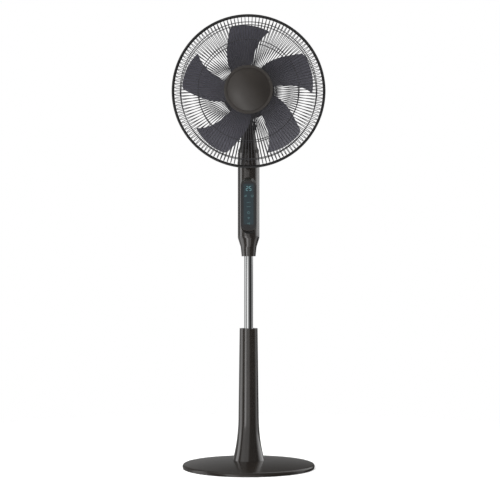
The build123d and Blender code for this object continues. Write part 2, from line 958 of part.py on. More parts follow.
def wire_steepness(route, radius):
    """Slope of a wire's middle line at a radius."""
    step = ring_size
    return (front_at(route, radius + step) - front_at(route, radius - step)) / (2 * step)


def guard_wires(route):
    """All wires of one guard, each a solid of its own."""
    with BuildPart() as one_wire:
        with BuildSketch(Plane.XZ):
            with BuildLine():
                Polyline(*route)
            trace(line_width=wire_size)
        extrude(amount=wire_size / 2, both=True)
    with BuildPart(face_plane) as wires:
        with PolarLocations(0, wire_count):
            add(one_wire.part, clean=False)
    return wires


def polygon_ring(back, front, bore, radius):
    """A ring about the fan's axis with straight sides."""
    with BuildPart() as ring:
        with BuildSketch(face_plane.offset(back)):
            RegularPolygon(radius, ring_sides)
            RegularPolygon(bore, ring_sides, mode=Mode.SUBTRACT)
        extrude(amount=front - back)
    return ring


def guard_rings(route, side, seam_back):
    """The two support rings on a guard's inner side, and its outer ring at the seam."""
    with BuildPart() as rings:
        for middle in (inner_ring_radius, outer_ring_radius):
            inside = middle - ring_size / 2
            outside = middle + ring_size / 2
            clear = wire_size / 2 * hypot(1, wire_steepness(route, middle)) + fit_gap
            near = side * max(side * front_at(route, inside), side * front_at(route, outside))
            ring_start = near + side * clear
            ring_back = min(ring_start, ring_start + side * ring_size)
            add(polygon_ring(ring_back, ring_back + ring_size, inside, outside).part)
        seam_inside = seam_radius - ring_size / 2
        seam_outside = seam_radius + ring_size / 2
        add(polygon_ring(seam_back, seam_back + ring_size, seam_inside, seam_outside).part)
    return rings


rear_plate_front = motor_front + rear_plate_thickness
rear_start_front = rear_plate_front + wire_size / 2 + fit_gap
rear_seam = seam_front - seam_gap / 2 - ring_size
rear_route = wire_route(
    rear_wire_start,
    rear_start_front,
    seam_front - rear_bend_depth,
    seam_front - rear_shoulder_depth,
    rear_seam + ring_size / 2,
)
save(guard_wires(rear_route), "rear_guard_wires")
save(guard_rings(rear_route, 1, rear_seam), "rear_guard_rings")

rear_guard_plate = head_ring(motor_front, rear_plate_front, nose_radius + fit_gap, rear_plate_radius)
save(rear_guard_plate, "rear_guard_plate")

guard_nut = head_ring(
    rear_plate_front, rear_plate_front + guard_nut_height, nose_radius + fit_gap, guard_nut_radius
)
save(guard_nut, "guard_nut")

front_seam = seam_front + seam_gap / 2
front_route = wire_route(
    front_wire_start,
    seam_front + front_start_depth,
    seam_front + front_bend_depth,
    seam_front + front_shoulder_depth,
    front_seam + ring_size / 2,
)
save(guard_wires(front_route), "front_guard_wires")
save(guard_rings(front_route, -1, front_seam), "front_guard_rings")

front_plate_front = front_at(front_route, front_plate_radius) - wire_size / 2 - 2 * fit_gap
front_hub_plate = head_ring(
    front_plate_front - front_plate_thickness, front_plate_front, 0, front_plate_radius
)
save(front_hub_plate, "front_hub_plate")

with BuildPart() as guard_rim:
    rim_back = rear_seam - moving_gap - rim_lip
    rim_front = front_seam + ring_size + moving_gap + rim_lip
    lip_bore = rim_bore - rim_lip_cover
    add(polygon_ring(rim_back, rim_front, rim_bore, guard_radius).part)
    add(polygon_ring(rim_back, rim_back + rim_lip, lip_bore, guard_radius).part)
    add(polygon_ring(rim_front - rim_lip, rim_front, lip_bore, guard_radius).part)
save(guard_rim, "guard_rim")

with BuildPart() as centre_cap:
    with BuildSketch(fan_plane):
        with BuildLine():
            cap_back = seam_front + front_start_depth + wire_size / 2 + fit_gap
            cap_rim_front = cap_back + cap_rim_height
            dome_edge = cap_radius - cap_rim_width
            dome_base = cap_rim_front - cap_step
            dome_top = dome_base + cap_dome_height
            Polyline(
                (dome_top - cap_wall, cap_boss_radius),
                (front_plate_front, cap_boss_radius),
                (front_plate_front, 0),
                (dome_top, 0),
            )
            TangentArc((dome_top, 0), (dome_base, dome_edge), tangent=(0, 1))
            Polyline(
                (dome_base, dome_edge),
                (cap_rim_front, dome_edge + cap_step),
                (cap_rim_front, cap_radius - cap_step),
                (cap_rim_front - cap_step, cap_radius),
                (cap_back, cap_radius),
                (cap_back, dome_edge - cap_wall),
            )
            Line((cap_back, dome_edge - cap_wall), (dome_top - cap_wall, cap_boss_radius))
        make_face()
    revolve(axis=fan_axis)
save(centre_cap, "centre_cap")
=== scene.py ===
"""Pedestal fan: finishes, round guard wires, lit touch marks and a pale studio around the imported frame."""
import json
import math

import bmesh
import bpy
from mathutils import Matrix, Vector

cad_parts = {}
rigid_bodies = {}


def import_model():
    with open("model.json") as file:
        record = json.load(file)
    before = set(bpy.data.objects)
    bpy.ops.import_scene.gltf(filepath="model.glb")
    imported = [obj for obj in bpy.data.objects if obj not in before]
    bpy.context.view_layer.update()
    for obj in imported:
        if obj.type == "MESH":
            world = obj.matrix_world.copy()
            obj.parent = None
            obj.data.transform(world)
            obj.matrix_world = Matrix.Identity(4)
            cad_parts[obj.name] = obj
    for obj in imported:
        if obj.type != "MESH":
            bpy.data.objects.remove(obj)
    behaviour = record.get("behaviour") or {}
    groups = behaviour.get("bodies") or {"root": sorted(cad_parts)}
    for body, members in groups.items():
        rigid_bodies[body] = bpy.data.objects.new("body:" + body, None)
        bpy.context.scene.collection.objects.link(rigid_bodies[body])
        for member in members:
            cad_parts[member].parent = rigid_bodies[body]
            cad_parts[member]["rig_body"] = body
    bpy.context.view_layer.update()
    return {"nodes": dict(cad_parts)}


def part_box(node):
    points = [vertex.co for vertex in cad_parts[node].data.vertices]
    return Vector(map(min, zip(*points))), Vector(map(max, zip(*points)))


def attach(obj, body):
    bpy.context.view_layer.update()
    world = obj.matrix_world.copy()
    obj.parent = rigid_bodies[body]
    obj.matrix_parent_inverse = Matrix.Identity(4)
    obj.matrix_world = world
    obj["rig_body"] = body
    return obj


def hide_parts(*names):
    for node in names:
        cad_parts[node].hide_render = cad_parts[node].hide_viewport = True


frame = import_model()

bl_info = {
    "name": "Pedestal fan",
    "version": (1, 0, 0),
    "blender": (4, 5, 0),
    "location": "View3D > Sidebar > Fan",
    "description": "Dresses a pedestal fan with its finishes, guard wires, touch marks and studio",
    "category": "Object",
}

MILLIMETRE = 0.001


def linear(hex_colour):
    """An sRGB hex colour as linear red, green, blue."""
    channels = []
    for start in (1, 3, 5):
        value = int(hex_colour[start:start + 2], 16) / 255
        channels.append(value / 12.92 if value <= 0.04045 else ((value + 0.055) / 1.055) ** 2.4)
    return tuple(channels)


WHITE = (*linear("#ffffff"), 1)


def middle_of(node):
    """The middle of a CAD node's box."""
    low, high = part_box(node)
    return (low + high) / 2


# Places read from the frame
FAN_MIDDLE = middle_of("guard_rim")
PANEL_MIDDLE = middle_of("display_panel")
RIM_LOW, RIM_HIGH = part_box("guard_rim")
CONTROL_LOW, CONTROL_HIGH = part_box("control_rear")
FRONT_WIRES_LOW, FRONT_WIRES_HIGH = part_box("front_guard_wires")
REAR_WIRES_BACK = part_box("rear_guard_wires")[1].y
PANEL_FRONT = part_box("display_panel")[0].y
MOTOR_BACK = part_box("motor_rear_cover")[1].y


class FanFinish(bpy.types.PropertyGroup):
    """Colours of the fan's own finishes."""

    gloss: bpy.props.FloatVectorProperty(
        name="Gloss ABS", description="Brown black of the base, column and control column",
        subtype="COLOR", size=3, min=0, max=1, default=linear("#292522"))
    satin: bpy.props.FloatVectorProperty(
        name="Satin ABS", description="Brown grey of the centre cap and motor housing",
        subtype="COLOR", size=3, min=0, max=1, default=linear("#322e2b"))
    blade: bpy.props.FloatVectorProperty(
        name="Blade", description="Violet grey of the moulded blade",
        subtype="COLOR", size=3, min=0, max=1, default=linear("#52515a"))
    guard: bpy.props.FloatVectorProperty(
        name="Guard coat", description="Dark powder coat of the guard wires",
        subtype="COLOR", size=3, min=0, max=1, default=linear("#343336"))
    trim: bpy.props.FloatVectorProperty(
        name="Black trim", description="Moulded black of the rim and bushes",
        subtype="COLOR", size=3, min=0, max=1, default=linear("#1b1a1a"))
    lens: bpy.props.FloatVectorProperty(
        name="Touch lens", description="Smoked acrylic over the display",
        subtype="COLOR", size=3, min=0, max=1, default=linear("#232325"))
    glow: bpy.props.FloatVectorProperty(
        name="Display window", description="Dim teal behind the lens",
        subtype="COLOR", size=3, min=0, max=1, default=linear("#1f6f80"))
    light: bpy.props.FloatVectorProperty(
        name="Lit marks", description="Teal of the lit marks on the lens",
        subtype="COLOR", size=3, min=0, max=1, default=linear("#6f9aa0"))
    chrome: bpy.props.FloatVectorProperty(
        name="Chrome", description="Bright plate of the pole",
        subtype="COLOR", size=3, min=0, max=1, default=linear("#c5c6c6"))


class FanGuard(bpy.types.PropertyGroup):
    """Sizes of the guard."""

    wire_count: bpy.props.IntProperty(
        name="Wires", description="Radial wires in each guard", min=12, max=240, default=128)
    wire_diameter: bpy.props.FloatProperty(
        name="Wire", description="Diameter of a guard wire", unit="LENGTH", default=1.95 * MILLIMETRE)
    ring_diameter: bpy.props.FloatProperty(
        name="Ring wire", description="Diameter of a support ring", unit="LENGTH", default=2.4 * MILLIMETRE)
    wire_sides: bpy.props.IntProperty(
        name="Wire sides", description="Sides of a wire's section", min=4, max=16, default=8)


class FanStage(bpy.types.PropertyGroup):
    """Camera and studio."""

    distance: bpy.props.FloatProperty(
        name="Distance", description="Camera to the pole's axis", unit="LENGTH", default=4.5)
    height: bpy.props.FloatProperty(
        name="Height", description="Camera above the floor", unit="LENGTH", default=0.627)
    side: bpy.props.FloatProperty(
        name="Side", description="Camera right of the pole's axis", unit="LENGTH", default=0.004)
    lens: bpy.props.FloatProperty(
        name="Lens", description="Focal length", unit="CAMERA", default=112.7)
    floor_colour: bpy.props.FloatVectorProperty(
        name="Floor", description="Pale floor",
        subtype="COLOR", size=3, min=0, max=1, default=linear("#f4f4f3"))


def add_node(tree, kind, settings=None, links=None):
    """A shader or geometry node with its settings and what feeds it. An input goes by its name, or by its
    number where several have the same name."""
    node = tree.nodes.new(kind)
    for name, value in (settings or {}).items():
        if isinstance(name, int) or name in node.inputs:
            node.inputs[name].default_value = value
        else:
            setattr(node, name, value)
    for name, source in (links or {}).items():
        tree.links.new(source, node.inputs[name])
    return node


def new_material(name):
    """An empty node material and its output, with the piece's own coordinates."""
    material = bpy.data.materials.new(name)
    material.use_nodes = True
    tree = material.node_tree
    tree.nodes.clear()
    output = add_node(tree, "ShaderNodeOutputMaterial")
    place = add_node(tree, "ShaderNodeTexCoord").outputs["Object"]
    return material, tree, output, place


def per_size(millimetres):
    """The texture scale whose pattern repeats about every so many millimetres."""
    return 1 / (millimetres * MILLIMETRE)


# Moulded skins: the span of a noise that counts, how far the tint and the gloss drift over it, the depth of
# the slow wave, and the usual IOR of plastics
NOISE_LOW = 0.3
NOISE_HIGH = 0.7
TINT_DRIFT = 0.1
GLOSS_DOWN = 0.85
GLOSS_UP = 1.2
WAVE_DEPTH = 0.05 * MILLIMETRE
PLASTIC_IOR = 1.54


def moulded_plastic(name, colour, roughness, wave_mm, grain_mm, grain_depth_mm, coat=0.0):
    """Injection moulded plastic: a slow sink and flow in the skin, a fine grain from the tool's face,
    and a gloss that drifts a little from place to place."""
    material, tree, output, place = new_material(name)
    wave = add_node(
        tree, "ShaderNodeTexNoise", {"Scale": per_size(wave_mm), "Detail": 2.0}, {"Vector": place})
    grain = add_node(
        tree, "ShaderNodeTexNoise", {"Scale": per_size(grain_mm), "Detail": 3.0, "Roughness": 0.6},
        {"Vector": place})
    tint = add_node(tree, "ShaderNodeValToRGB", {}, {"Fac": wave.outputs["Fac"]})
    dark, light = tint.color_ramp.elements
    dark.position = NOISE_LOW
    dark.color = (*[channel * (1 - TINT_DRIFT) for channel in colour], 1)
    light.position = NOISE_HIGH
    light.color = (*[min(1, channel * (1 + TINT_DRIFT)) for channel in colour], 1)
    gloss = add_node(
        tree, "ShaderNodeMapRange",
        {"From Min": NOISE_LOW, "From Max": NOISE_HIGH,
         "To Min": roughness * GLOSS_DOWN, "To Max": roughness * GLOSS_UP},
        {"Value": grain.outputs["Fac"]})
    slow = add_node(
        tree, "ShaderNodeBump", {"Strength": 0.15, "Distance": WAVE_DEPTH}, {"Height": wave.outputs["Fac"]})
    fine = add_node(
        tree, "ShaderNodeBump", {"Strength": 0.5, "Distance": grain_depth_mm * MILLIMETRE},
        {"Height": grain.outputs["Fac"], "Normal": slow.outputs["Normal"]})
    shader = add_node(
        tree, "ShaderNodeBsdfPrincipled",
        {"IOR": PLASTIC_IOR, "Coat Weight": coat, "Coat Roughness": 0.06, "Coat IOR": PLASTIC_IOR},
        {"Base Color": tint.outputs["Color"], "Roughness": gloss.outputs["Result"],
         "Normal": fine.outputs["Normal"]})
    tree.links.new(shader.outputs["BSDF"], output.inputs["Surface"])
    return material


def gloss_abs(finish):
    """High gloss ABS, polished tool: nearly a mirror over a brown black, with faint flow."""
    return moulded_plastic(
        "gloss_abs", finish.gloss, roughness=0.14, wave_mm=70, grain_mm=2.5, grain_depth_mm=0.004, coat=1.0)


def half_gloss_abs(finish):
    """Half gloss ABS of the base: the same brown black, with a softer reflection."""
    return moulded_plastic(
        "half_gloss_abs", finish.gloss, roughness=0.2, wave_mm=80, grain_mm=1.5, grain_depth_mm=0.006)


def satin_abs(finish):
    """Satin ABS from a fine eroded tool; the grain is drawn at 0.9 mm so that it still shows."""
    return moulded_plastic(
        "satin_abs", finish.satin, roughness=0.34, wave_mm=50, grain_mm=0.9, grain_depth_mm=0.03)


def blade_styrene(finish):
    """Moulded styrene blade: a smooth satin skin with a faint flow in it."""
    return moulded_plastic(
        "blade_styrene", finish.blade, roughness=0.36, wave_mm=45, grain_mm=1.2, grain_depth_mm=0.015)


def black_trim_plastic(finish):
    """Moulded black plastic with a plain semi gloss skin."""
    return moulded_plastic(
        "black_polypropylene", finish.trim, roughness=0.3, wave_mm=40, grain_mm=1.0, grain_depth_mm=0.02)


def guard_powder_coat(finish):
    """Powder coat on steel wire: dark, half gloss, with the slight peel of a baked coat, which is drawn at
    1.2 mm so that it still shows."""
    return moulded_plastic(
        "powder_coated_wire", finish.guard, roughness=0.32, wave_mm=30, grain_mm=1.2, grain_depth_mm=0.03)


# Dim window of the display: half its size, its rise over the lens's middle, its soft edge and its glow
WINDOW_HALF_WIDTH = 14 * MILLIMETRE
WINDOW_HALF_HEIGHT = 58 * MILLIMETRE
WINDOW_RISE = 4 * MILLIMETRE
WINDOW_SOFT = 3 * MILLIMETRE
WINDOW_GLOW = 0.1


def smoked_acrylic(finish):
    """Smoked acrylic lens: flat and glossy over a dark print, with a dim teal window down its middle."""
    material = moulded_plastic(
        "smoked_acrylic", finish.lens, roughness=0.09, wave_mm=120, grain_mm=3, grain_depth_mm=0.001)
    tree = material.node_tree
    place = add_node(tree, "ShaderNodeTexCoord").outputs["Object"]
    parts = add_node(tree, "ShaderNodeSeparateXYZ", {}, {"Vector": place}).outputs
    shares = []
    for part, middle, half in (
        (parts["X"], PANEL_MIDDLE.x, WINDOW_HALF_WIDTH),
        (parts["Z"], PANEL_MIDDLE.z + WINDOW_RISE, WINDOW_HALF_HEIGHT),
    ):
        reach = add_node(tree, "ShaderNodeMath", {"operation": "SUBTRACT", 1: middle}, {0: part})
        away = add_node(tree, "ShaderNodeMath", {"operation": "ABSOLUTE"}, {0: reach.outputs[0]})
        share = add_node(
            tree, "ShaderNodeMapRange",
            {"interpolation_type": "SMOOTHSTEP",
             "From Min": half + WINDOW_SOFT, "From Max": half - WINDOW_SOFT},
            {"Value": away.outputs[0]})
        shares.append(share.outputs["Result"])
    level = add_node(tree, "ShaderNodeMath", {"operation": "MULTIPLY"}, {0: shares[0], 1: shares[1]})
    dim = add_node(tree, "ShaderNodeMath", {"operation": "MULTIPLY", 1: WINDOW_GLOW}, {0: level.outputs[0]})
    shader = next(node for node in tree.nodes if node.type == "BSDF_PRINCIPLED")
    shader.inputs["Emission Color"].default_value = (*finish.glow, 1)
    tree.links.new(dim.outputs[0], shader.inputs["Emission Strength"])
    return material


# Draw lines along the chrome tube, drawn wider than the real ones so that they show close by, and the two
# levels of roughness that the plate drifts between along them
DRAW_LINE_WIDTH_MM = 0.6
DRAW_LINE_LENGTH_MM = 60
DRAW_LINE_DEPTH = 0.004 * MILLIMETRE
CHROME_SMOOTH = 0.05
CHROME_ROUGH = 0.11


def chrome_plate(finish):
    """Bright chrome on drawn tube: a mirror with faint draw lines along the tube."""
    material, tree, output, place = new_material("chrome_plate")
    across = per_size(DRAW_LINE_WIDTH_MM)
    along = add_node(
        tree, "ShaderNodeMapping", {"Scale": (across, across, per_size(DRAW_LINE_LENGTH_MM))},
        {"Vector": place})
    lines = add_node(
        tree, "ShaderNodeTexNoise", {"Scale": 1.0, "Detail": 2.0}, {"Vector": along.outputs["Vector"]})
    gloss = add_node(
        tree, "ShaderNodeMapRange", {"To Min": CHROME_SMOOTH, "To Max": CHROME_ROUGH},
        {"Value": lines.outputs["Fac"]})
    bump = add_node(
        tree, "ShaderNodeBump", {"Strength": 0.1, "Distance": DRAW_LINE_DEPTH},
        {"Height": lines.outputs["Fac"]})
    shader = add_node(
        tree, "ShaderNodeBsdfPrincipled", {"Base Color": (*finish.chrome, 1), "Metallic": 1.0},
        {"Roughness": gloss.outputs["Result"], "Normal": bump.outputs["Normal"]})
    tree.links.new(shader.outputs["BSDF"], output.inputs["Surface"])
    return material


# Tool marks on the other metals: how far the shine drifts over them, and their depth
SHINE_DOWN = 0.8
SHINE_UP = 1.3
TOOL_MARK_DEPTH = 0.02 * MILLIMETRE


def plain_metal(name, hex_colour, roughness, mark_mm):
    """Turned, pressed or cast metal: fine tool marks that break up the shine."""
    material, tree, output, place = new_material(name)
    marks = add_node(
        tree, "ShaderNodeTexNoise", {"Scale": per_size(mark_mm), "Detail": 4.0}, {"Vector": place})
    gloss = add_node(
        tree, "ShaderNodeMapRange", {"To Min": roughness * SHINE_DOWN, "To Max": roughness * SHINE_UP},
        {"Value": marks.outputs["Fac"]})
    bump = add_node(
        tree, "ShaderNodeBump", {"Strength": 0.3, "Distance": TOOL_MARK_DEPTH},
        {"Height": marks.outputs["Fac"]})
    shader = add_node(
        tree, "ShaderNodeBsdfPrincipled", {"Base Color": (*linear(hex_colour), 1), "Metallic": 1.0},
        {"Roughness": gloss.outputs["Result"], "Normal": bump.outputs["Normal"]})
    tree.links.new(shader.outputs["BSDF"], output.inputs["Surface"])
    return material


# Lit marks: how bright the number and the signs are, the colour of a light guide that is off, how far its
# light drifts, and how wide the patches of that are
NUMBER_LIGHT = 0.9
SIGN_LIGHT = 0.4
GUIDE_COLOUR = "#273030"
GUIDE_DOWN = 0.8
GUIDE_UP = 1.2
GUIDE_CLOUD_MM = 4


def lit_mark(name, finish, strength):
    """Light guide of the display: a soft teal, a little uneven across each mark."""
    material, tree, output, place = new_material(name)
    cloud = add_node(
        tree, "ShaderNodeTexNoise", {"Scale": per_size(GUIDE_CLOUD_MM), "Detail": 1.0}, {"Vector": place})
    level = add_node(
        tree, "ShaderNodeMapRange", {"To Min": strength * GUIDE_DOWN, "To Max": strength * GUIDE_UP},
        {"Value": cloud.outputs["Fac"]})
    shader = add_node(
        tree, "ShaderNodeBsdfPrincipled",
        {"Base Color": (*linear(GUIDE_COLOUR), 1), "Roughness": 0.2, "Emission Color": (*finish.light, 1)},
        {"Emission Strength": level.outputs["Result"]})
    tree.links.new(shader.outputs["BSDF"], output.inputs["Surface"])
    return material


# Metals, as (finish, material, colour, roughness, size of the tool marks in millimetres)
METALS = (
    # Zinc plate on turned or pressed steel: a cool bright shine, broken by soft marks
    ("steel", "zinc_plated_steel", "#b9babc", 0.3, 1.5),
    # Die cast alloy as it leaves the mould: duller, with coarser marks
    ("alloy", "die_cast_alloy", "#a3a4a6", 0.45, 2.5),
    # Stacked silicon steel: a dark grey with a fine grain
    ("core", "silicon_steel", "#77797c", 0.4, 0.8),
    # Lacquered copper wire: warm, with a broken shine
    ("copper", "lacquered_copper", "#b0643a", 0.35, 1.2),
)

# Plain skins, as (finish, material, colour, roughness, then wave, grain and grain depth in millimetres)
PLAIN_SKINS = (
    # Moulded rubber: nearly black and dull
    ("rubber", "moulded_rubber", "#1c1c1c", 0.7, 20, 0.8, 0.05),
    # Moulded nylon: a milky white with a soft shine
    ("nylon", "moulded_nylon", "#dcdad2", 0.4, 15, 0.8, 0.02),
    # Glass fibre board under green resist: an even half gloss
    ("board", "board_laminate", "#1f5a3c", 0.4, 30, 1.0, 0.02),
    # Black paint on a pressed steel plate: dull, with a slight peel
    ("ballast", "painted_steel_plate", "#262626", 0.45, 40, 1.2, 0.04),
)

MATERIALS = {}


def make_materials(finish):
    """All finishes, by the plain name that the operators use."""
    MATERIALS.update(
        gloss=gloss_abs(finish),
        base=half_gloss_abs(finish),
        satin=satin_abs(finish),
        blade=blade_styrene(finish),
        trim=black_trim_plastic(finish),
        guard=guard_powder_coat(finish),
        lens=smoked_acrylic(finish),
        chrome=chrome_plate(finish),
        light=lit_mark("lit_number_guide", finish, NUMBER_LIGHT),
        dim_light=lit_mark("lit_sign_guide", finish, SIGN_LIGHT),
    )
    for key, name, hex_colour, roughness, mark_mm in METALS:
        MATERIALS[key] = plain_metal(name, hex_colour, roughness, mark_mm)
    for key, name, hex_colour, roughness, *sizes_mm in PLAIN_SKINS:
        MATERIALS[key] = moulded_plastic(name, linear(hex_colour), roughness, *sizes_mm)


def finish_nodes(material, *nodes):
    """Give CAD nodes their finish."""
    for node in nodes:
        mesh = frame["nodes"][node].data
        mesh.materials.clear()
        mesh.materials.append(MATERIALS[material])


def add_piece(name, mesh, material, body, nodes=()):
    """A finished mesh as a piece of the fan: its finish, its body, and the nodes it stands for, which it
    hides.
    """
    piece = bpy.data.objects.new(name, mesh)
    bpy.context.scene.collection.objects.link(piece)
    mesh.materials.clear()
    mesh.materials.append(MATERIALS[material])
    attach(piece, body)
    if nodes:
        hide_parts(*nodes)
    return piece


# Points nearer than this are one: in a mesh made here, and in a copy of a CAD node
MERGE_DISTANCE = 0.01 * MILLIMETRE
CAD_MERGE_DISTANCE = 0.002 * MILLIMETRE


def mesh_from(name, build, smooth=True):
    """A mesh made by a function that fills a bmesh; doubles merged and faces turned outwards."""
    work = bmesh.new()
    build(work)
    bmesh.ops.remove_doubles(work, verts=work.verts, dist=MERGE_DISTANCE)
    bmesh.ops.recalc_face_normals(work, faces=work.faces)
    mesh = bpy.data.meshes.new(name)
    work.to_mesh(mesh)
    work.free()
    for face in mesh.polygons:
        face.use_smooth = smooth
    return mesh


def turned_mesh(name, profile, steps):
    """A ring turned about the fan's axis from a closed section of (distance in front, radius)."""
    def build(work):
        rows = []
        for step in range(steps):
            angle = 2 * math.pi * step / steps
            across = math.cos(angle)
            up = math.sin(angle)
            rows.append([
                work.verts.new((FAN_MIDDLE.x + radius * across, -front, FAN_MIDDLE.z + radius * up))
                for front, radius in profile
            ])
        for row, after in zip(rows, rows[1:] + rows[:1]):
            for index in range(len(profile)):
                following = (index + 1) % len(profile)
                work.faces.new((row[index], row[following], after[following], after[index]))
    return mesh_from(name, build)


def rounded_profile(back, front, inside, outside, round_size, steps=6):
    """A rectangular section with rounded corners, as (distance in front, radius)."""
    points = []
    corners = (
        (front - round_size, outside - round_size, 0),
        (back + round_size, outside - round_size, 90),
        (back + round_size, inside + round_size, 180),
        (front - round_size, inside + round_size, 270),
    )
    for along, across, start in corners:
        for step in range(steps + 1):
            angle = math.radians(start + 90 * step / steps)
            points.append((along + round_size * math.cos(angle), across + round_size * math.sin(angle)))
    return points


# Guard: a dome whose depth falls off towards the seam by a rule. The wires' middle lines are worked out from
# a step behind the foremost and hindmost faces of their solids, and end a little short of them at the seam.
WIRE_STEP = 1.1 * MILLIMETRE
WIRE_INSIDE = 0.5 * MILLIMETRE
SEAM_FRONT = -FAN_MIDDLE.y
WIRE_END = FRONT_WIRES_HIGH.x - FAN_MIDDLE.x - WIRE_INSIDE
FRONT_DEPTH = -FRONT_WIRES_LOW.y - WIRE_STEP - SEAM_FRONT
REAR_DEPTH = SEAM_FRONT + REAR_WIRES_BACK + WIRE_STEP
FRONT_WIRE_START = 52 * MILLIMETRE
REAR_WIRE_START = 62 * MILLIMETRE
DOME_POWER = 2.5
DOME_ROOT = 3.3
INNER_RING = 141 * MILLIMETRE
OUTER_RING = 191 * MILLIMETRE
SEAM_RING = 209.55 * MILLIMETRE
SEAM_STEP = 1.5 * MILLIMETRE
RIM_WIDTH = 7 * MILLIMETRE
RIM_ROUND = 2.4 * MILLIMETRE
ROUTE_POINTS = 20
RING_STEPS = 128
RIM_STEPS = 192


def dome_front(radius, depth):
    """How far in front a guard wire runs at a radius; depth is negative for the rear guard."""
    share = max(0.0, 1 - (radius / WIRE_END) ** DOME_POWER)
    return SEAM_FRONT + depth * share ** (1 / DOME_ROOT)


def dome_slope(radius, depth):
    """Steepness of the guard at a radius."""
    step = MILLIMETRE
    return (dome_front(radius + step, depth) - dome_front(radius - step, depth)) / (2 * step)


def wire_route(name, start, depth):
    """One wire's middle line in the plane above the fan's axis, as a curve object."""
    curve = bpy.data.curves.new(name, "CURVE")
    curve.dimensions = "3D"
    spline = curve.splines.new("POLY")
    spline.points.add(ROUTE_POINTS - 1)
    for index, point in enumerate(spline.points):
        share = math.sin(0.5 * math.pi * index / (ROUTE_POINTS - 1))
        radius = start + (WIRE_END - start) * share
        point.co = (0, -dome_front(radius, depth), radius, 1)
    route = bpy.data.objects.new(name, curve)
    bpy.context.scene.collection.objects.link(route)
    return route


def geometry_tree(name, inputs, result):
    """A geometry tree with its named inputs, given as name and kind of socket, and one result."""
    tree = bpy.data.node_groups.new(name, "GeometryNodeTree")
    for label, kind in inputs.items():
        tree.interface.new_socket(label, in_out="INPUT", socket_type=f"NodeSocket{kind}")
    tree.interface.new_socket(result, in_out="OUTPUT", socket_type="NodeSocketGeometry")
    return tree, add_node(tree, "NodeGroupInput").outputs


def wire_array_tree():
    """Geometry nodes: a wire of round section along the route, repeated about the fan's axis."""
    inputs = {
        "Route": "Geometry",
        "Wires": "Int",
        "Wire Diameter": "Float",
        "Sides": "Int",
        "Middle": "Vector",
        "Finish": "Material",
    }
    tree, given = geometry_tree("guard_wire_array", inputs, "Wires")
    radius = add_node(
        tree, "ShaderNodeMath", {"operation": "MULTIPLY", 1: 0.5}, {0: given["Wire Diameter"]})
    section = add_node(
        tree, "GeometryNodeCurvePrimitiveCircle", {"mode": "RADIUS"},
        {"Resolution": given["Sides"], "Radius": radius.outputs[0]})
    wire = add_node(
        tree, "GeometryNodeCurveToMesh", {"Fill Caps": True},
        {"Curve": given["Route"], "Profile Curve": section.outputs["Curve"]})
    smooth = add_node(tree, "GeometryNodeSetShadeSmooth", {}, {"Geometry": wire.outputs["Mesh"]})
    spots = add_node(tree, "GeometryNodePoints", {}, {"Count": given["Wires"]})
    number = add_node(tree, "GeometryNodeInputIndex")
    step = add_node(tree, "ShaderNodeMath", {"operation": "DIVIDE", 0: 2 * math.pi}, {1: given["Wires"]})
    turn = add_node(
        tree, "ShaderNodeMath", {"operation": "MULTIPLY"}, {0: number.outputs["Index"], 1: step.outputs[0]})
    angles = add_node(tree, "ShaderNodeCombineXYZ", {}, {"Y": turn.outputs[0]})
    copies = add_node(
        tree, "GeometryNodeInstanceOnPoints", {},
        {"Points": spots.outputs[0], "Instance": smooth.outputs[0], "Rotation": angles.outputs[0]})
    placed = add_node(
        tree, "GeometryNodeTransform", {}, {"Geometry": copies.outputs[0], "Translation": given["Middle"]})
    real = add_node(tree, "GeometryNodeRealizeInstances", {}, {"Geometry": placed.outputs[0]})
    coated = add_node(
        tree, "GeometryNodeSetMaterial", {}, {"Geometry": real.outputs[0], "Material": given["Finish"]})
    add_node(tree, "NodeGroupOutput", {}, {"Wires": coated.outputs[0]})
    return tree


def modifier_result(holder, tree, values, name):
    """Run a geometry tree on an object with named inputs and keep the result as a plain mesh."""
    modifier = holder.modifiers.new(name, "NODES")
    modifier.node_group = tree
    for item in tree.interface.items_tree:
        if item.item_type == "SOCKET" and item.in_out == "INPUT" and item.name in values:
            modifier[item.identifier] = values[item.name]
    bpy.context.view_layer.update()
    graph = bpy.context.evaluated_depsgraph_get()
    mesh = bpy.data.meshes.new_from_object(holder.evaluated_get(graph))
    mesh.name = name
    holder.modifiers.clear()
    bpy.data.objects.remove(holder)
    return mesh


def ring_profile(front, radius, size, sides=10):
    """A round section at a place, as (distance in front, radius)."""
    half = size / 2
    turns = [2 * math.pi * side / sides for side in range(sides)]
    return [(front + half * math.cos(turn), radius + half * math.sin(turn)) for turn in turns]


def joined(name, meshes):
    """Several meshes as one."""
    work = bmesh.new()
    for mesh in meshes:
        work.from_mesh(mesh)
        bpy.data.meshes.remove(mesh)
    whole = bpy.data.meshes.new(name)
    work.to_mesh(whole)
    work.free()
    return whole


class FAN_OT_guard_wires(bpy.types.Operator):
    """Round wires of the front and rear guards"""

    bl_idname = "fan.guard_wires"
    bl_label = "Guard wires"

    def execute(self, context):
        guard = context.scene.fan_guard
        tree = wire_array_tree()
        values = {
            "Wires": guard.wire_count,
            "Wire Diameter": guard.wire_diameter,
            "Sides": guard.wire_sides,
            "Middle": (FAN_MIDDLE.x, 0.0, FAN_MIDDLE.z),
            "Finish": MATERIALS["guard"],
        }
        for side, start, depth in (
            ("front", FRONT_WIRE_START, FRONT_DEPTH),
            ("rear", REAR_WIRE_START, -REAR_DEPTH),
        ):
            route = wire_route(f"{side}_wire_route", start, depth)
            mesh = modifier_result(route, tree, values, f"{side}_wires")
            add_piece(f"{side}_wires", mesh, "guard", "head", [f"{side}_guard_wires"])
        return {"FINISHED"}


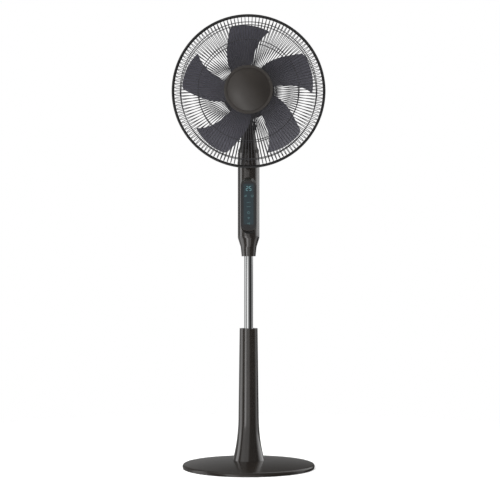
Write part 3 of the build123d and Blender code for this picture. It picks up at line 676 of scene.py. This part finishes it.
class FAN_OT_guard_rings(bpy.types.Operator):
    """Support rings inside the guards and the trim rim round the seam"""

    bl_idname = "fan.guard_rings"
    bl_label = "Guard rings and rim"

    def execute(self, context):
        guard = context.scene.fan_guard
        for side, depth, inward in (("front", FRONT_DEPTH, -1), ("rear", -REAR_DEPTH, 1)):
            rings = []
            for radius in (INNER_RING, OUTER_RING):
                wire_room = guard.wire_diameter / 2 * math.hypot(1, dome_slope(radius, depth))
                front = dome_front(radius, depth) + inward * (wire_room + guard.ring_diameter / 2)
                rings.append((front, radius))
            rings.append((SEAM_FRONT - inward * SEAM_STEP, SEAM_RING))
            meshes = [
                turned_mesh("ring", ring_profile(front, radius, guard.ring_diameter), RING_STEPS)
                for front, radius in rings
            ]
            name = f"{side}_rings"
            mesh = joined(name, meshes)
            add_piece(name, mesh, "guard", "head", [f"{side}_guard_rings"])
        outside = RIM_HIGH.x - FAN_MIDDLE.x
        profile = rounded_profile(-RIM_HIGH.y, -RIM_LOW.y, outside - RIM_WIDTH, outside, RIM_ROUND)
        mesh = turned_mesh("seam_rim", profile, RIM_STEPS)
        add_piece("seam_rim", mesh, "trim", "head", ["guard_rim"])
        return {"FINISHED"}


# Edges that turn more than this stay sharp on a skin
SMOOTH_LIMIT = math.radians(28)


def dress(material, *nodes):
    """Smooth skins over CAD nodes whose faces are curved: a merged copy, shaded smooth up to its edges."""
    skins = []
    for node in nodes:
        cad = frame["nodes"][node]
        work = bmesh.new()
        work.from_mesh(cad.data)
        bmesh.ops.remove_doubles(work, verts=work.verts, dist=CAD_MERGE_DISTANCE)
        for edge in work.edges:
            edge.smooth = edge.calc_face_angle(0) <= SMOOTH_LIMIT
        mesh = bpy.data.meshes.new(f"{node}_skin")
        work.to_mesh(mesh)
        work.free()
        if mesh.has_custom_normals:
            mesh.attributes.remove(mesh.attributes["custom_normal"])
        for face in mesh.polygons:
            face.use_smooth = True
        skins.append(add_piece(f"{node}_skin", mesh, material, cad["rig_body"], [node]))
    return skins


def shade_evenly(skins):
    """Let the wide faces set the shading where they run into a rounded edge."""
    for skin in skins:
        shading = skin.modifiers.new("even_shading", "WEIGHTED_NORMAL")
        shading.keep_sharp = True


# Touch marks: flat lit shapes just proud of the lens, drawn as (x, z) from the panel's middle in millimetres
MARK_PROUD = 0.12 * MILLIMETRE
DIGIT_WIDTH = 6.4
DIGIT_HEIGHT = 13.0
STROKE = 1.3
FLAT_GAP = 1.4 * STROKE
UPRIGHT_GAP = 0.4 * STROKE
NUMBER_LEVEL = 49
SPEED_LEVEL = 26.5
SPEED_LEFT = -11.5
TIMER_LEVEL = 28
TIMER_RIGHT = 10.4
DOT_LEVELS = (9, -3)
POWER_LEVEL = -20
SWING_LEVEL = -38
STEP_LEVEL = -51

# Bars of a number, as (side, level, lies flat), and the two digits, as (place across, bars)
DIGIT_SIDE = 4.4
SEGMENTS = {
    "top": (0, 1, True),
    "middle": (0, 0, True),
    "bottom": (0, -1, True),
    "upper_left": (-1, 0.5, False),
    "upper_right": (1, 0.5, False),
    "lower_left": (-1, -0.5, False),
    "lower_right": (1, -0.5, False),
}
DIGITS = (
    (-DIGIT_SIDE, ("top", "upper_right", "middle", "lower_left", "bottom")),
    (DIGIT_SIDE, ("top", "upper_left", "middle", "lower_right", "bottom")),
)


def bar(x, z, width, height):
    """A flat bar about a place."""
    half_width = width / 2
    half_height = height / 2
    return [
        (x - half_width, z - half_height), (x + half_width, z - half_height),
        (x + half_width, z + half_height), (x - half_width, z + half_height)]


def arc_band(x, z, radius, width, start, end, steps=20):
    """A flat band along an arc, from one angle to another in degrees."""
    turns = [math.radians(start + (end - start) * step / steps) for step in range(steps + 1)]
    far = radius + width / 2
    near = radius - width / 2
    outer = [(x + far * math.cos(turn), z + far * math.sin(turn)) for turn in turns]
    inner = [(x + near * math.cos(turn), z + near * math.sin(turn)) for turn in turns]
    return outer + inner[::-1]


def dot(x, z, radius, steps=16):
    """A flat round spot."""
    turns = [2 * math.pi * step / steps for step in range(steps)]
    return [(x + radius * math.cos(turn), z + radius * math.sin(turn)) for turn in turns]


def digit(x, z, segments):
    """A seven-bar number."""
    shapes = []
    for name in segments:
        side, level, flat = SEGMENTS[name]
        across = x + side * (DIGIT_WIDTH - STROKE) / 2
        up = z + level * (DIGIT_HEIGHT - STROKE) / 2
        if flat:
            shapes.append(bar(across, up, DIGIT_WIDTH - FLAT_GAP, STROKE))
        else:
            shapes.append(bar(across, up, STROKE, (DIGIT_HEIGHT - STROKE) / 2 - UPRIGHT_GAP))
    return shapes


def bright_marks():
    """The number at the top."""
    shapes = []
    for x, segments in DIGITS:
        shapes += digit(x, NUMBER_LEVEL, segments)
    return shapes


def dim_marks():
    """Speed bars and timer ring, two rows of dots, and the power, swing and step signs below them."""
    shapes = [
        bar(SPEED_LEFT + 2.4 * step, SPEED_LEVEL + 0.9 * step, width=1.4, height=2.2 + 1.8 * step)
        for step in range(3)
    ]
    shapes.append(arc_band(TIMER_RIGHT, TIMER_LEVEL, radius=3.1, width=1.0, start=120, end=420))
    shapes.append(bar(TIMER_RIGHT, TIMER_LEVEL + 1, width=0.9, height=2.6))
    shapes += [dot(x, level, radius=1.1) for level in DOT_LEVELS for x in (-4, 0, 4)]
    shapes.append(arc_band(0, POWER_LEVEL, radius=3.4, width=1.1, start=125, end=415))
    shapes.append(bar(0, POWER_LEVEL + 2.6, width=1.1, height=3.6))
    for radius in (2.6, 4.6):
        shapes.append(arc_band(0, SWING_LEVEL, radius, width=1.0, start=40, end=140))
    shapes.append(dot(0, SWING_LEVEL + 0.4, radius=0.9))
    for x, height in ((-3, 2.6), (0, 4.6), (3, 6.6)):
        shapes.append(bar(x, STEP_LEVEL, width=1.2, height=height))
    return shapes


def mark_mesh(name, shapes):
    """Closed flat prisms standing just proud of the lens."""
    def build(work):
        for shape in shapes:
            places = [(PANEL_MIDDLE.x + x * MILLIMETRE, PANEL_MIDDLE.z + z * MILLIMETRE) for x, z in shape]
            near = [work.verts.new((x, PANEL_FRONT - MARK_PROUD, z)) for x, z in places]
            far = [work.verts.new((x, PANEL_FRONT, z)) for x, z in places]
            work.faces.new(near)
            work.faces.new(far[::-1])
            for index in range(len(places)):
                after = (index + 1) % len(places)
                work.faces.new((near[index], far[index], far[after], near[after]))
    return mesh_from(name, build, smooth=False)


class FAN_OT_touch_marks(bpy.types.Operator):
    """Lit number and touch signs on the display"""

    bl_idname = "fan.touch_marks"
    bl_label = "Touch marks"

    def execute(self, context):
        add_piece("lit_number", mark_mesh("lit_number", bright_marks()), "light", "pole")
        add_piece("touch_signs", mark_mesh("touch_signs", dim_marks()), "dim_light", "pole")
        return {"FINISHED"}


# Screws: pan heads a quarter sunk in their covers. The two cutters of the cross recess are a share of the
# head's radius long, and go in by half their depth. The screws' places count from the control column's
# middle and ends, and on the motor cover from the fan's axis.
SCREW_RADIUS = 2.6 * MILLIMETRE
SCREW_HEIGHT = 1.6 * MILLIMETRE
SCREW_SIDES = 24
SCREW_RISE = SCREW_HEIGHT / 4
RECESS_LENGTH = 1.2
RECESS_WIDTH = 0.8 * MILLIMETRE
CUTTER_DEPTH = 1.6 * MILLIMETRE
CONTROL_SCREW_SIDE = 10 * MILLIMETRE
CONTROL_SCREW_LOW = 70 * MILLIMETRE
CONTROL_SCREW_HIGH = 35 * MILLIMETRE
MOTOR_SCREW_CIRCLE = 38 * MILLIMETRE
MOTOR_SCREW_TURNS = (90, 210, 330)


def screw_array_tree():
    """Geometry nodes: a pan head with a cross recess at each given point."""
    inputs = {
        "Places": "Geometry",
        "Head Radius": "Float",
        "Head Height": "Float",
        "Recess Width": "Float",
        "Cutter Depth": "Float",
        "Turn": "Vector",
        "Finish": "Material",
    }
    tree, given = geometry_tree("screw_array", inputs, "Screws")
    head = add_node(
        tree, "GeometryNodeMeshCylinder", {"Vertices": SCREW_SIDES},
        {"Radius": given["Head Radius"], "Depth": given["Head Height"]})
    long_side = add_node(
        tree, "ShaderNodeMath", {"operation": "MULTIPLY", 1: RECESS_LENGTH}, {0: given["Head Radius"]})
    first_size = add_node(
        tree, "ShaderNodeCombineXYZ", {},
        {"X": long_side.outputs[0], "Y": given["Recess Width"], "Z": given["Cutter Depth"]})
    second_size = add_node(
        tree, "ShaderNodeCombineXYZ", {},
        {"X": given["Recess Width"], "Y": long_side.outputs[0], "Z": given["Cutter Depth"]})
    half_head = add_node(
        tree, "ShaderNodeMath", {"operation": "MULTIPLY", 1: 0.5}, {0: given["Head Height"]})
    top = add_node(tree, "ShaderNodeCombineXYZ", {}, {"Z": half_head.outputs[0]})
    cuts = []
    for size in (first_size, second_size):
        cube = add_node(tree, "GeometryNodeMeshCube", {}, {"Size": size.outputs[0]})
        cuts.append(add_node(
            tree, "GeometryNodeTransform", {},
            {"Geometry": cube.outputs["Mesh"], "Translation": top.outputs[0]}))
    recessed = add_node(
        tree, "GeometryNodeMeshBoolean",
        {"operation": "DIFFERENCE", "solver": "EXACT", "Self Intersection": True},
        {"Mesh 1": head.outputs["Mesh"]})
    for cut in cuts:
        tree.links.new(cut.outputs[0], recessed.inputs["Mesh 2"])
    points = add_node(tree, "GeometryNodeMeshToPoints", {}, {"Mesh": given["Places"]})
    copies = add_node(
        tree, "GeometryNodeInstanceOnPoints", {},
        {"Points": points.outputs[0], "Instance": recessed.outputs["Mesh"], "Rotation": given["Turn"]})
    real = add_node(tree, "GeometryNodeRealizeInstances", {}, {"Geometry": copies.outputs[0]})
    plated = add_node(
        tree, "GeometryNodeSetMaterial", {}, {"Geometry": real.outputs[0], "Material": given["Finish"]})
    add_node(tree, "NodeGroupOutput", {}, {"Screws": plated.outputs[0]})
    return tree


class FAN_OT_screws(bpy.types.Operator):
    """Screws that close the control column and the motor cover from behind"""

    bl_idname = "fan.screws"
    bl_label = "Screws"

    def execute(self, context):
        tree = screw_array_tree()
        control_places = [
            (side * CONTROL_SCREW_SIDE, CONTROL_HIGH.y + SCREW_RISE, level)
            for side in (-1, 1)
            for level in (CONTROL_LOW.z + CONTROL_SCREW_LOW, CONTROL_HIGH.z - CONTROL_SCREW_HIGH)
        ]
        motor_places = []
        for turn in MOTOR_SCREW_TURNS:
            angle = math.radians(turn)
            motor_places.append((
                FAN_MIDDLE.x + MOTOR_SCREW_CIRCLE * math.cos(angle),
                MOTOR_BACK + SCREW_RISE,
                FAN_MIDDLE.z + MOTOR_SCREW_CIRCLE * math.sin(angle)))
        values = {
            "Head Radius": SCREW_RADIUS,
            "Head Height": SCREW_HEIGHT,
            "Recess Width": RECESS_WIDTH,
            "Cutter Depth": CUTTER_DEPTH,
            "Turn": (-math.pi / 2, 0.0, 0.0),
            "Finish": MATERIALS["steel"],
        }
        for name, places, body in (
            ("control_screws", control_places, "pole"),
            ("motor_cover_screws", motor_places, "head"),
        ):
            spots = bpy.data.meshes.new(f"{name}_places")
            spots.from_pydata(places, [], [])
            holder = bpy.data.objects.new(f"{name}_places", spots)
            context.scene.collection.objects.link(holder)
            mesh = modifier_result(holder, tree, values, name)
            add_piece(name, mesh, "steel", body)
        return {"FINISHED"}


class FAN_OT_base(bpy.types.Operator):
    """Round base, its ballast, feet and clamp"""

    bl_idname = "fan.base"
    bl_label = "Base"

    def execute(self, context):
        shade_evenly(dress("base", "base_cover"))
        finish_nodes("ballast", "base_weight")
        finish_nodes("rubber", "base_feet")
        finish_nodes("steel", "base_nut", "tube_collar")
        return {"FINISHED"}


class FAN_OT_column(bpy.types.Operator):
    """Flared column, its tube, collet and twist lock"""

    bl_idname = "fan.column"
    bl_label = "Column"

    def execute(self, context):
        dress("gloss", "column_cover", "height_lock_ring")
        finish_nodes("steel", "outer_tube")
        finish_nodes("trim", "pole_collet")
        return {"FINISHED"}


class FAN_OT_pole(bpy.types.Operator):
    """Chrome pole with its foot bush and socket"""

    bl_idname = "fan.pole"
    bl_label = "Pole"

    def execute(self, context):
        dress("chrome", "inner_pole")
        finish_nodes("trim", "pole_foot_bush", "pole_socket")
        return {"FINISHED"}


class FAN_OT_control(bpy.types.Operator):
    """Control column with its lens and board"""

    bl_idname = "fan.control"
    bl_label = "Control column"

    def execute(self, context):
        dress("gloss", "control_front", "control_rear")
        shade_evenly(dress("lens", "display_panel"))
        dress("rubber", "cord_gland")
        finish_nodes("board", "control_board")
        return {"FINISHED"}


class FAN_OT_swing_drive(bpy.types.Operator):
    """Swing motor, pinion, gear and shaft"""

    bl_idname = "fan.swing_drive"
    bl_label = "Swing drive"

    def execute(self, context):
        finish_nodes("nylon", "swing_gear", "swing_pinion")
        finish_nodes("steel", "swing_motor", "swing_shaft", "shaft_clip")
        finish_nodes("trim", "swing_bush")
        return {"FINISHED"}


class FAN_OT_neck(bpy.types.Operator):
    """Neck and tilt hinge"""

    bl_idname = "fan.neck"
    bl_label = "Neck"

    def execute(self, context):
        dress("satin", "neck_yoke")
        dress("steel", "tilt_pin")
        finish_nodes("steel", "tilt_nut")
        dress("satin", "tilt_lug")
        return {"FINISHED"}


class FAN_OT_motor(bpy.types.Operator):
    """Motor housing and the motor inside it"""

    bl_idname = "fan.motor"
    bl_label = "Motor"

    def execute(self, context):
        dress("satin", "motor_front_cover", "motor_rear_cover")
        finish_nodes("alloy", "front_shield", "rear_shield")
        finish_nodes("core", "stator_core", "rotor")
        finish_nodes("copper", "stator_winding")
        finish_nodes("steel", "front_bearing", "rear_bearing", "drive_pin")
        dress("steel", "motor_shaft")
        return {"FINISHED"}


class FAN_OT_blade(bpy.types.Operator):
    """Blade with its nut"""

    bl_idname = "fan.blade"
    bl_label = "Blade"

    def execute(self, context):
        dress("blade", "fan_blade")
        dress("satin", "blade_nut")
        return {"FINISHED"}


class FAN_OT_guard_middle(bpy.types.Operator):
    """Plates, nut and cap in the middle of the guards"""

    bl_idname = "fan.guard_middle"
    bl_label = "Guard middle"

    def execute(self, context):
        dress("satin", "centre_cap", "guard_nut")
        dress("guard", "rear_guard_plate", "front_hub_plate")
        return {"FINISHED"}


# Stage, in metres: half the floor's width, the place that the lamps point at, the softboxes as (name, place,
# size, power in watts), the fill in the shade, and the width of the camera's sensor in millimetres
FLOOR_HALF = 3.0
LAMP_AIM = (0, 0, 0.65)
SOFTBOXES = (
    ("key_softbox", (-1.35, -2.6, 1.1), (1.7, 2.2), 50),
    ("top_softbox", (0, 0.3, 3.4), (2.4, 2.4), 60),
)
FILL_STRENGTH = 0.45
SENSOR_MM = 36


def add_softbox(name, place, size, power):
    """A soft rectangular lamp that points at the fan and isn't mirrored in it."""
    lamp = bpy.data.lights.new(name, "AREA")
    lamp.shape = "RECTANGLE"
    lamp.size, lamp.size_y = size
    lamp.energy = power
    holder = bpy.data.objects.new(name, lamp)
    holder.location = place
    holder.rotation_euler = (Vector(LAMP_AIM) - Vector(place)).to_track_quat("-Z", "Y").to_euler()
    holder.visible_glossy = False
    bpy.context.scene.collection.objects.link(holder)


# Floor: its extra white near the fan, where it starts and ends running out to the background, in metres, the
# two levels of roughness that it drifts between, and the size of the patches of that
FLOOR_LIFT = 0.35
FLOOR_NEAR = 0.45
FLOOR_FAR = 1.6
FLOOR_SMOOTH = 0.75
FLOOR_ROUGH = 0.95
FLOOR_CLOUD_MM = 667

# Cards that the gloss mirrors, as (left edge, right edge, brightness), in degrees round from the front with
# the left negative. Bright ones are lights, dark ones are flags between them, and the light changes evenly
# from one edge to the next. The low row stands under the horizon and the high row above it, with a narrow
# blend between them. Both have the same brightness at the back, and both are leaned by an angle.
LOW_CARDS = (
    (-170, -122, 0.28),
    (-112, -80, 1.2),
    (-73, -47, 0.12),
    (-42, -28, 2.0),
    (-23, 4, 0.59),
    (14, 74, 0.05),
    (102, 122, 0.6),
    (130, 166, 0.07),
)
HIGH_CARDS = (
    (-170, -118, 0.18),
    (-110, -86, 1.6),
    (-78, -60, 0.12),
    (-50, -30, 0.6),
    (-20, 4, 0.5),
    (14, 78, 0.07),
    (105, 140, 1.35),
    (152, 166, 0.09),
)
CARD_BACK = 0.26
CARD_LEAN = 30
CARD_PEAK = 2.0
CARD_BLEND = 0.012


def add_cards(tree, turn, cards):
    """A row of cards all round, by the turn from the front."""
    row = add_node(tree, "ShaderNodeValToRGB", {}, {"Fac": turn})
    points = row.color_ramp.elements
    edges = [(-180, CARD_BACK), (180, CARD_BACK)]
    for left, right, level in cards:
        edges += [(left, level), (right, level)]
    for index, (degrees, level) in enumerate(edges):
        place = degrees / 360 + 0.5
        point = points[index] if index < 2 else points.new(place)
        share = level / CARD_PEAK
        point.position = place
        point.color = (share, share, share, 1)
    return add_node(tree, "ShaderNodeBackground", {"Strength": CARD_PEAK}, {"Color": row.outputs["Color"]})


def studio_world():
    """White for the camera, a plain fill for shade, and a ring of cards for what the gloss mirrors."""
    world = bpy.data.worlds.new("pale_studio")
    world.use_nodes = True
    tree = world.node_tree
    tree.nodes.clear()
    direction = add_node(tree, "ShaderNodeTexCoord").outputs["Generated"]
    leaned = add_node(
        tree, "ShaderNodeVectorRotate", {"rotation_type": "Y_AXIS", "Angle": math.radians(CARD_LEAN)},
        {"Vector": direction})
    split = add_node(tree, "ShaderNodeSeparateXYZ", {}, {"Vector": leaned.outputs["Vector"]})
    forwards = add_node(tree, "ShaderNodeMath", {"operation": "MULTIPLY", 1: -1.0}, {0: split.outputs["Y"]})
    turn = add_node(
        tree, "ShaderNodeMath", {"operation": "ARCTAN2"}, {0: split.outputs["X"], 1: forwards.outputs[0]})
    share = add_node(
        tree, "ShaderNodeMapRange", {"From Min": -math.pi, "From Max": math.pi}, {"Value": turn.outputs[0]})
    height = add_node(tree, "ShaderNodeSeparateXYZ", {}, {"Vector": direction}).outputs["Z"]
    above = add_node(
        tree, "ShaderNodeMapRange", {"From Min": -CARD_BLEND, "From Max": CARD_BLEND}, {"Value": height})
    low = add_cards(tree, share.outputs["Result"], LOW_CARDS)
    high = add_cards(tree, share.outputs["Result"], HIGH_CARDS)
    mirrored = add_node(
        tree, "ShaderNodeMixShader", {},
        {"Fac": above.outputs["Result"], 1: low.outputs[0], 2: high.outputs[0]})
    path = add_node(tree, "ShaderNodeLightPath").outputs
    glossy = add_node(
        tree, "ShaderNodeMath", {"operation": "MAXIMUM"},
        {0: path["Is Glossy Ray"], 1: path["Is Transmission Ray"]})
    fill = add_node(tree, "ShaderNodeBackground", {"Color": WHITE, "Strength": FILL_STRENGTH})
    white = add_node(tree, "ShaderNodeBackground", {"Color": WHITE, "Strength": 1.0})
    unseen = add_node(
        tree, "ShaderNodeMixShader", {},
        {"Fac": glossy.outputs[0], 1: fill.outputs[0], 2: mirrored.outputs[0]})
    whole = add_node(
        tree, "ShaderNodeMixShader", {},
        {"Fac": path["Is Camera Ray"], 1: unseen.outputs[0], 2: white.outputs[0]})
    add_node(tree, "ShaderNodeOutputWorld", {}, {"Surface": whole.outputs[0]})
    bpy.context.scene.world = world


def pale_floor_material(colour):
    """Pale matt floor: it keeps the fan's shadow nearby, and runs out to the white of the background."""
    material, tree, output, place = new_material("pale_matt_floor")
    cloud = add_node(
        tree, "ShaderNodeTexNoise", {"Scale": per_size(FLOOR_CLOUD_MM), "Detail": 2.0}, {"Vector": place})
    rough = add_node(
        tree, "ShaderNodeMapRange", {"To Min": FLOOR_SMOOTH, "To Max": FLOOR_ROUGH},
        {"Value": cloud.outputs["Fac"]})
    paint = add_node(
        tree, "ShaderNodeBsdfDiffuse", {"Color": (*colour, 1)}, {"Roughness": rough.outputs["Result"]})
    path = add_node(tree, "ShaderNodeLightPath").outputs
    lift = add_node(
        tree, "ShaderNodeMath", {"operation": "MULTIPLY", 1: FLOOR_LIFT}, {0: path["Is Camera Ray"]})
    glow = add_node(tree, "ShaderNodeEmission", {"Color": WHITE}, {"Strength": lift.outputs[0]})
    near = add_node(tree, "ShaderNodeAddShader", {}, {0: paint.outputs[0], 1: glow.outputs[0]})
    reach = add_node(tree, "ShaderNodeVectorMath", {"operation": "LENGTH"}, {0: place})
    fade = add_node(
        tree, "ShaderNodeMapRange",
        {"interpolation_type": "SMOOTHSTEP", "From Min": FLOOR_NEAR, "From Max": FLOOR_FAR},
        {"Value": reach.outputs["Value"]})
    seen = add_node(
        tree, "ShaderNodeMath", {"operation": "MULTIPLY"},
        {0: fade.outputs["Result"], 1: path["Is Camera Ray"]})
    glossy = add_node(
        tree, "ShaderNodeMath", {"operation": "MAXIMUM"},
        {0: path["Is Glossy Ray"], 1: path["Is Transmission Ray"]})
    share = add_node(
        tree, "ShaderNodeMath", {"operation": "MAXIMUM"}, {0: seen.outputs[0], 1: glossy.outputs[0]})
    far = add_node(tree, "ShaderNodeBsdfTransparent")
    whole = add_node(
        tree, "ShaderNodeMixShader", {}, {"Fac": share.outputs[0], 1: near.outputs[0], 2: far.outputs[0]})
    tree.links.new(whole.outputs[0], output.inputs["Surface"])
    return material


class FAN_OT_stage(bpy.types.Operator):
    """Pale floor, soft studio light and the camera"""

    bl_idname = "fan.stage"
    bl_label = "Stage"

    def execute(self, context):
        stage = context.scene.fan_stage
        mesh = bpy.data.meshes.new("floor")
        corners = [(x * FLOOR_HALF, y * FLOOR_HALF, 0) for x, y in ((-1, -1), (1, -1), (1, 1), (-1, 1))]
        mesh.from_pydata(corners, [], [(0, 1, 2, 3)])
        mesh.materials.append(pale_floor_material(stage.floor_colour))
        floor = bpy.data.objects.new("floor", mesh)
        context.scene.collection.objects.link(floor)
        studio_world()
        for softbox in SOFTBOXES:
            add_softbox(*softbox)
        lens = bpy.data.cameras.new("camera")
        lens.lens = stage.lens
        lens.sensor_width = SENSOR_MM
        camera = bpy.data.objects.new("camera", lens)
        camera.location = (stage.side, -stage.distance, stage.height)
        camera.rotation_euler = (math.pi / 2, 0, 0)
        context.scene.collection.objects.link(camera)
        context.scene.camera = camera
        context.scene.view_settings.view_transform = "Standard"
        return {"FINISHED"}


class FAN_PT_panel(bpy.types.Panel):
    """The fan's finishes, guard, stage and the buttons that make each piece"""

    bl_idname = "FAN_PT_panel"
    bl_label = "Pedestal fan"
    bl_space_type = "VIEW_3D"
    bl_region_type = "UI"
    bl_category = "Fan"

    def draw(self, context):
        for settings in (context.scene.fan_finish, context.scene.fan_guard, context.scene.fan_stage):
            box = self.layout.box()
            for name in settings.bl_rna.properties.keys():
                if name not in ("rna_type", "name"):
                    box.prop(settings, name)
        for operator in OPERATORS:
            self.layout.operator(operator.bl_idname)


OPERATORS = (
    FAN_OT_base,
    FAN_OT_column,
    FAN_OT_pole,
    FAN_OT_control,
    FAN_OT_touch_marks,
    FAN_OT_swing_drive,
    FAN_OT_neck,
    FAN_OT_motor,
    FAN_OT_blade,
    FAN_OT_guard_wires,
    FAN_OT_guard_rings,
    FAN_OT_guard_middle,
    FAN_OT_screws,
    FAN_OT_stage,
)
CLASSES = (FanFinish, FanGuard, FanStage, *OPERATORS, FAN_PT_panel)


def register():
    """Add the classes and the settings they read."""
    for item in CLASSES:
        bpy.utils.register_class(item)
    bpy.types.Scene.fan_finish = bpy.props.PointerProperty(type=FanFinish)
    bpy.types.Scene.fan_guard = bpy.props.PointerProperty(type=FanGuard)
    bpy.types.Scene.fan_stage = bpy.props.PointerProperty(type=FanStage)


def unregister():
    """Take the settings and the classes away again."""
    del bpy.types.Scene.fan_stage
    del bpy.types.Scene.fan_guard
    del bpy.types.Scene.fan_finish
    for item in reversed(CLASSES):
        bpy.utils.unregister_class(item)


def main():
    """Make every piece in order."""
    register()
    make_materials(bpy.context.scene.fan_finish)
    bpy.ops.fan.base()
    bpy.ops.fan.column()
    bpy.ops.fan.pole()
    bpy.ops.fan.control()
    bpy.ops.fan.touch_marks()
    bpy.ops.fan.swing_drive()
    bpy.ops.fan.neck()
    bpy.ops.fan.motor()
    bpy.ops.fan.blade()
    bpy.ops.fan.guard_wires()
    bpy.ops.fan.guard_rings()
    bpy.ops.fan.guard_middle()
    bpy.ops.fan.screws()
    bpy.ops.fan.stage()


if __name__ == "__main__":
    main()
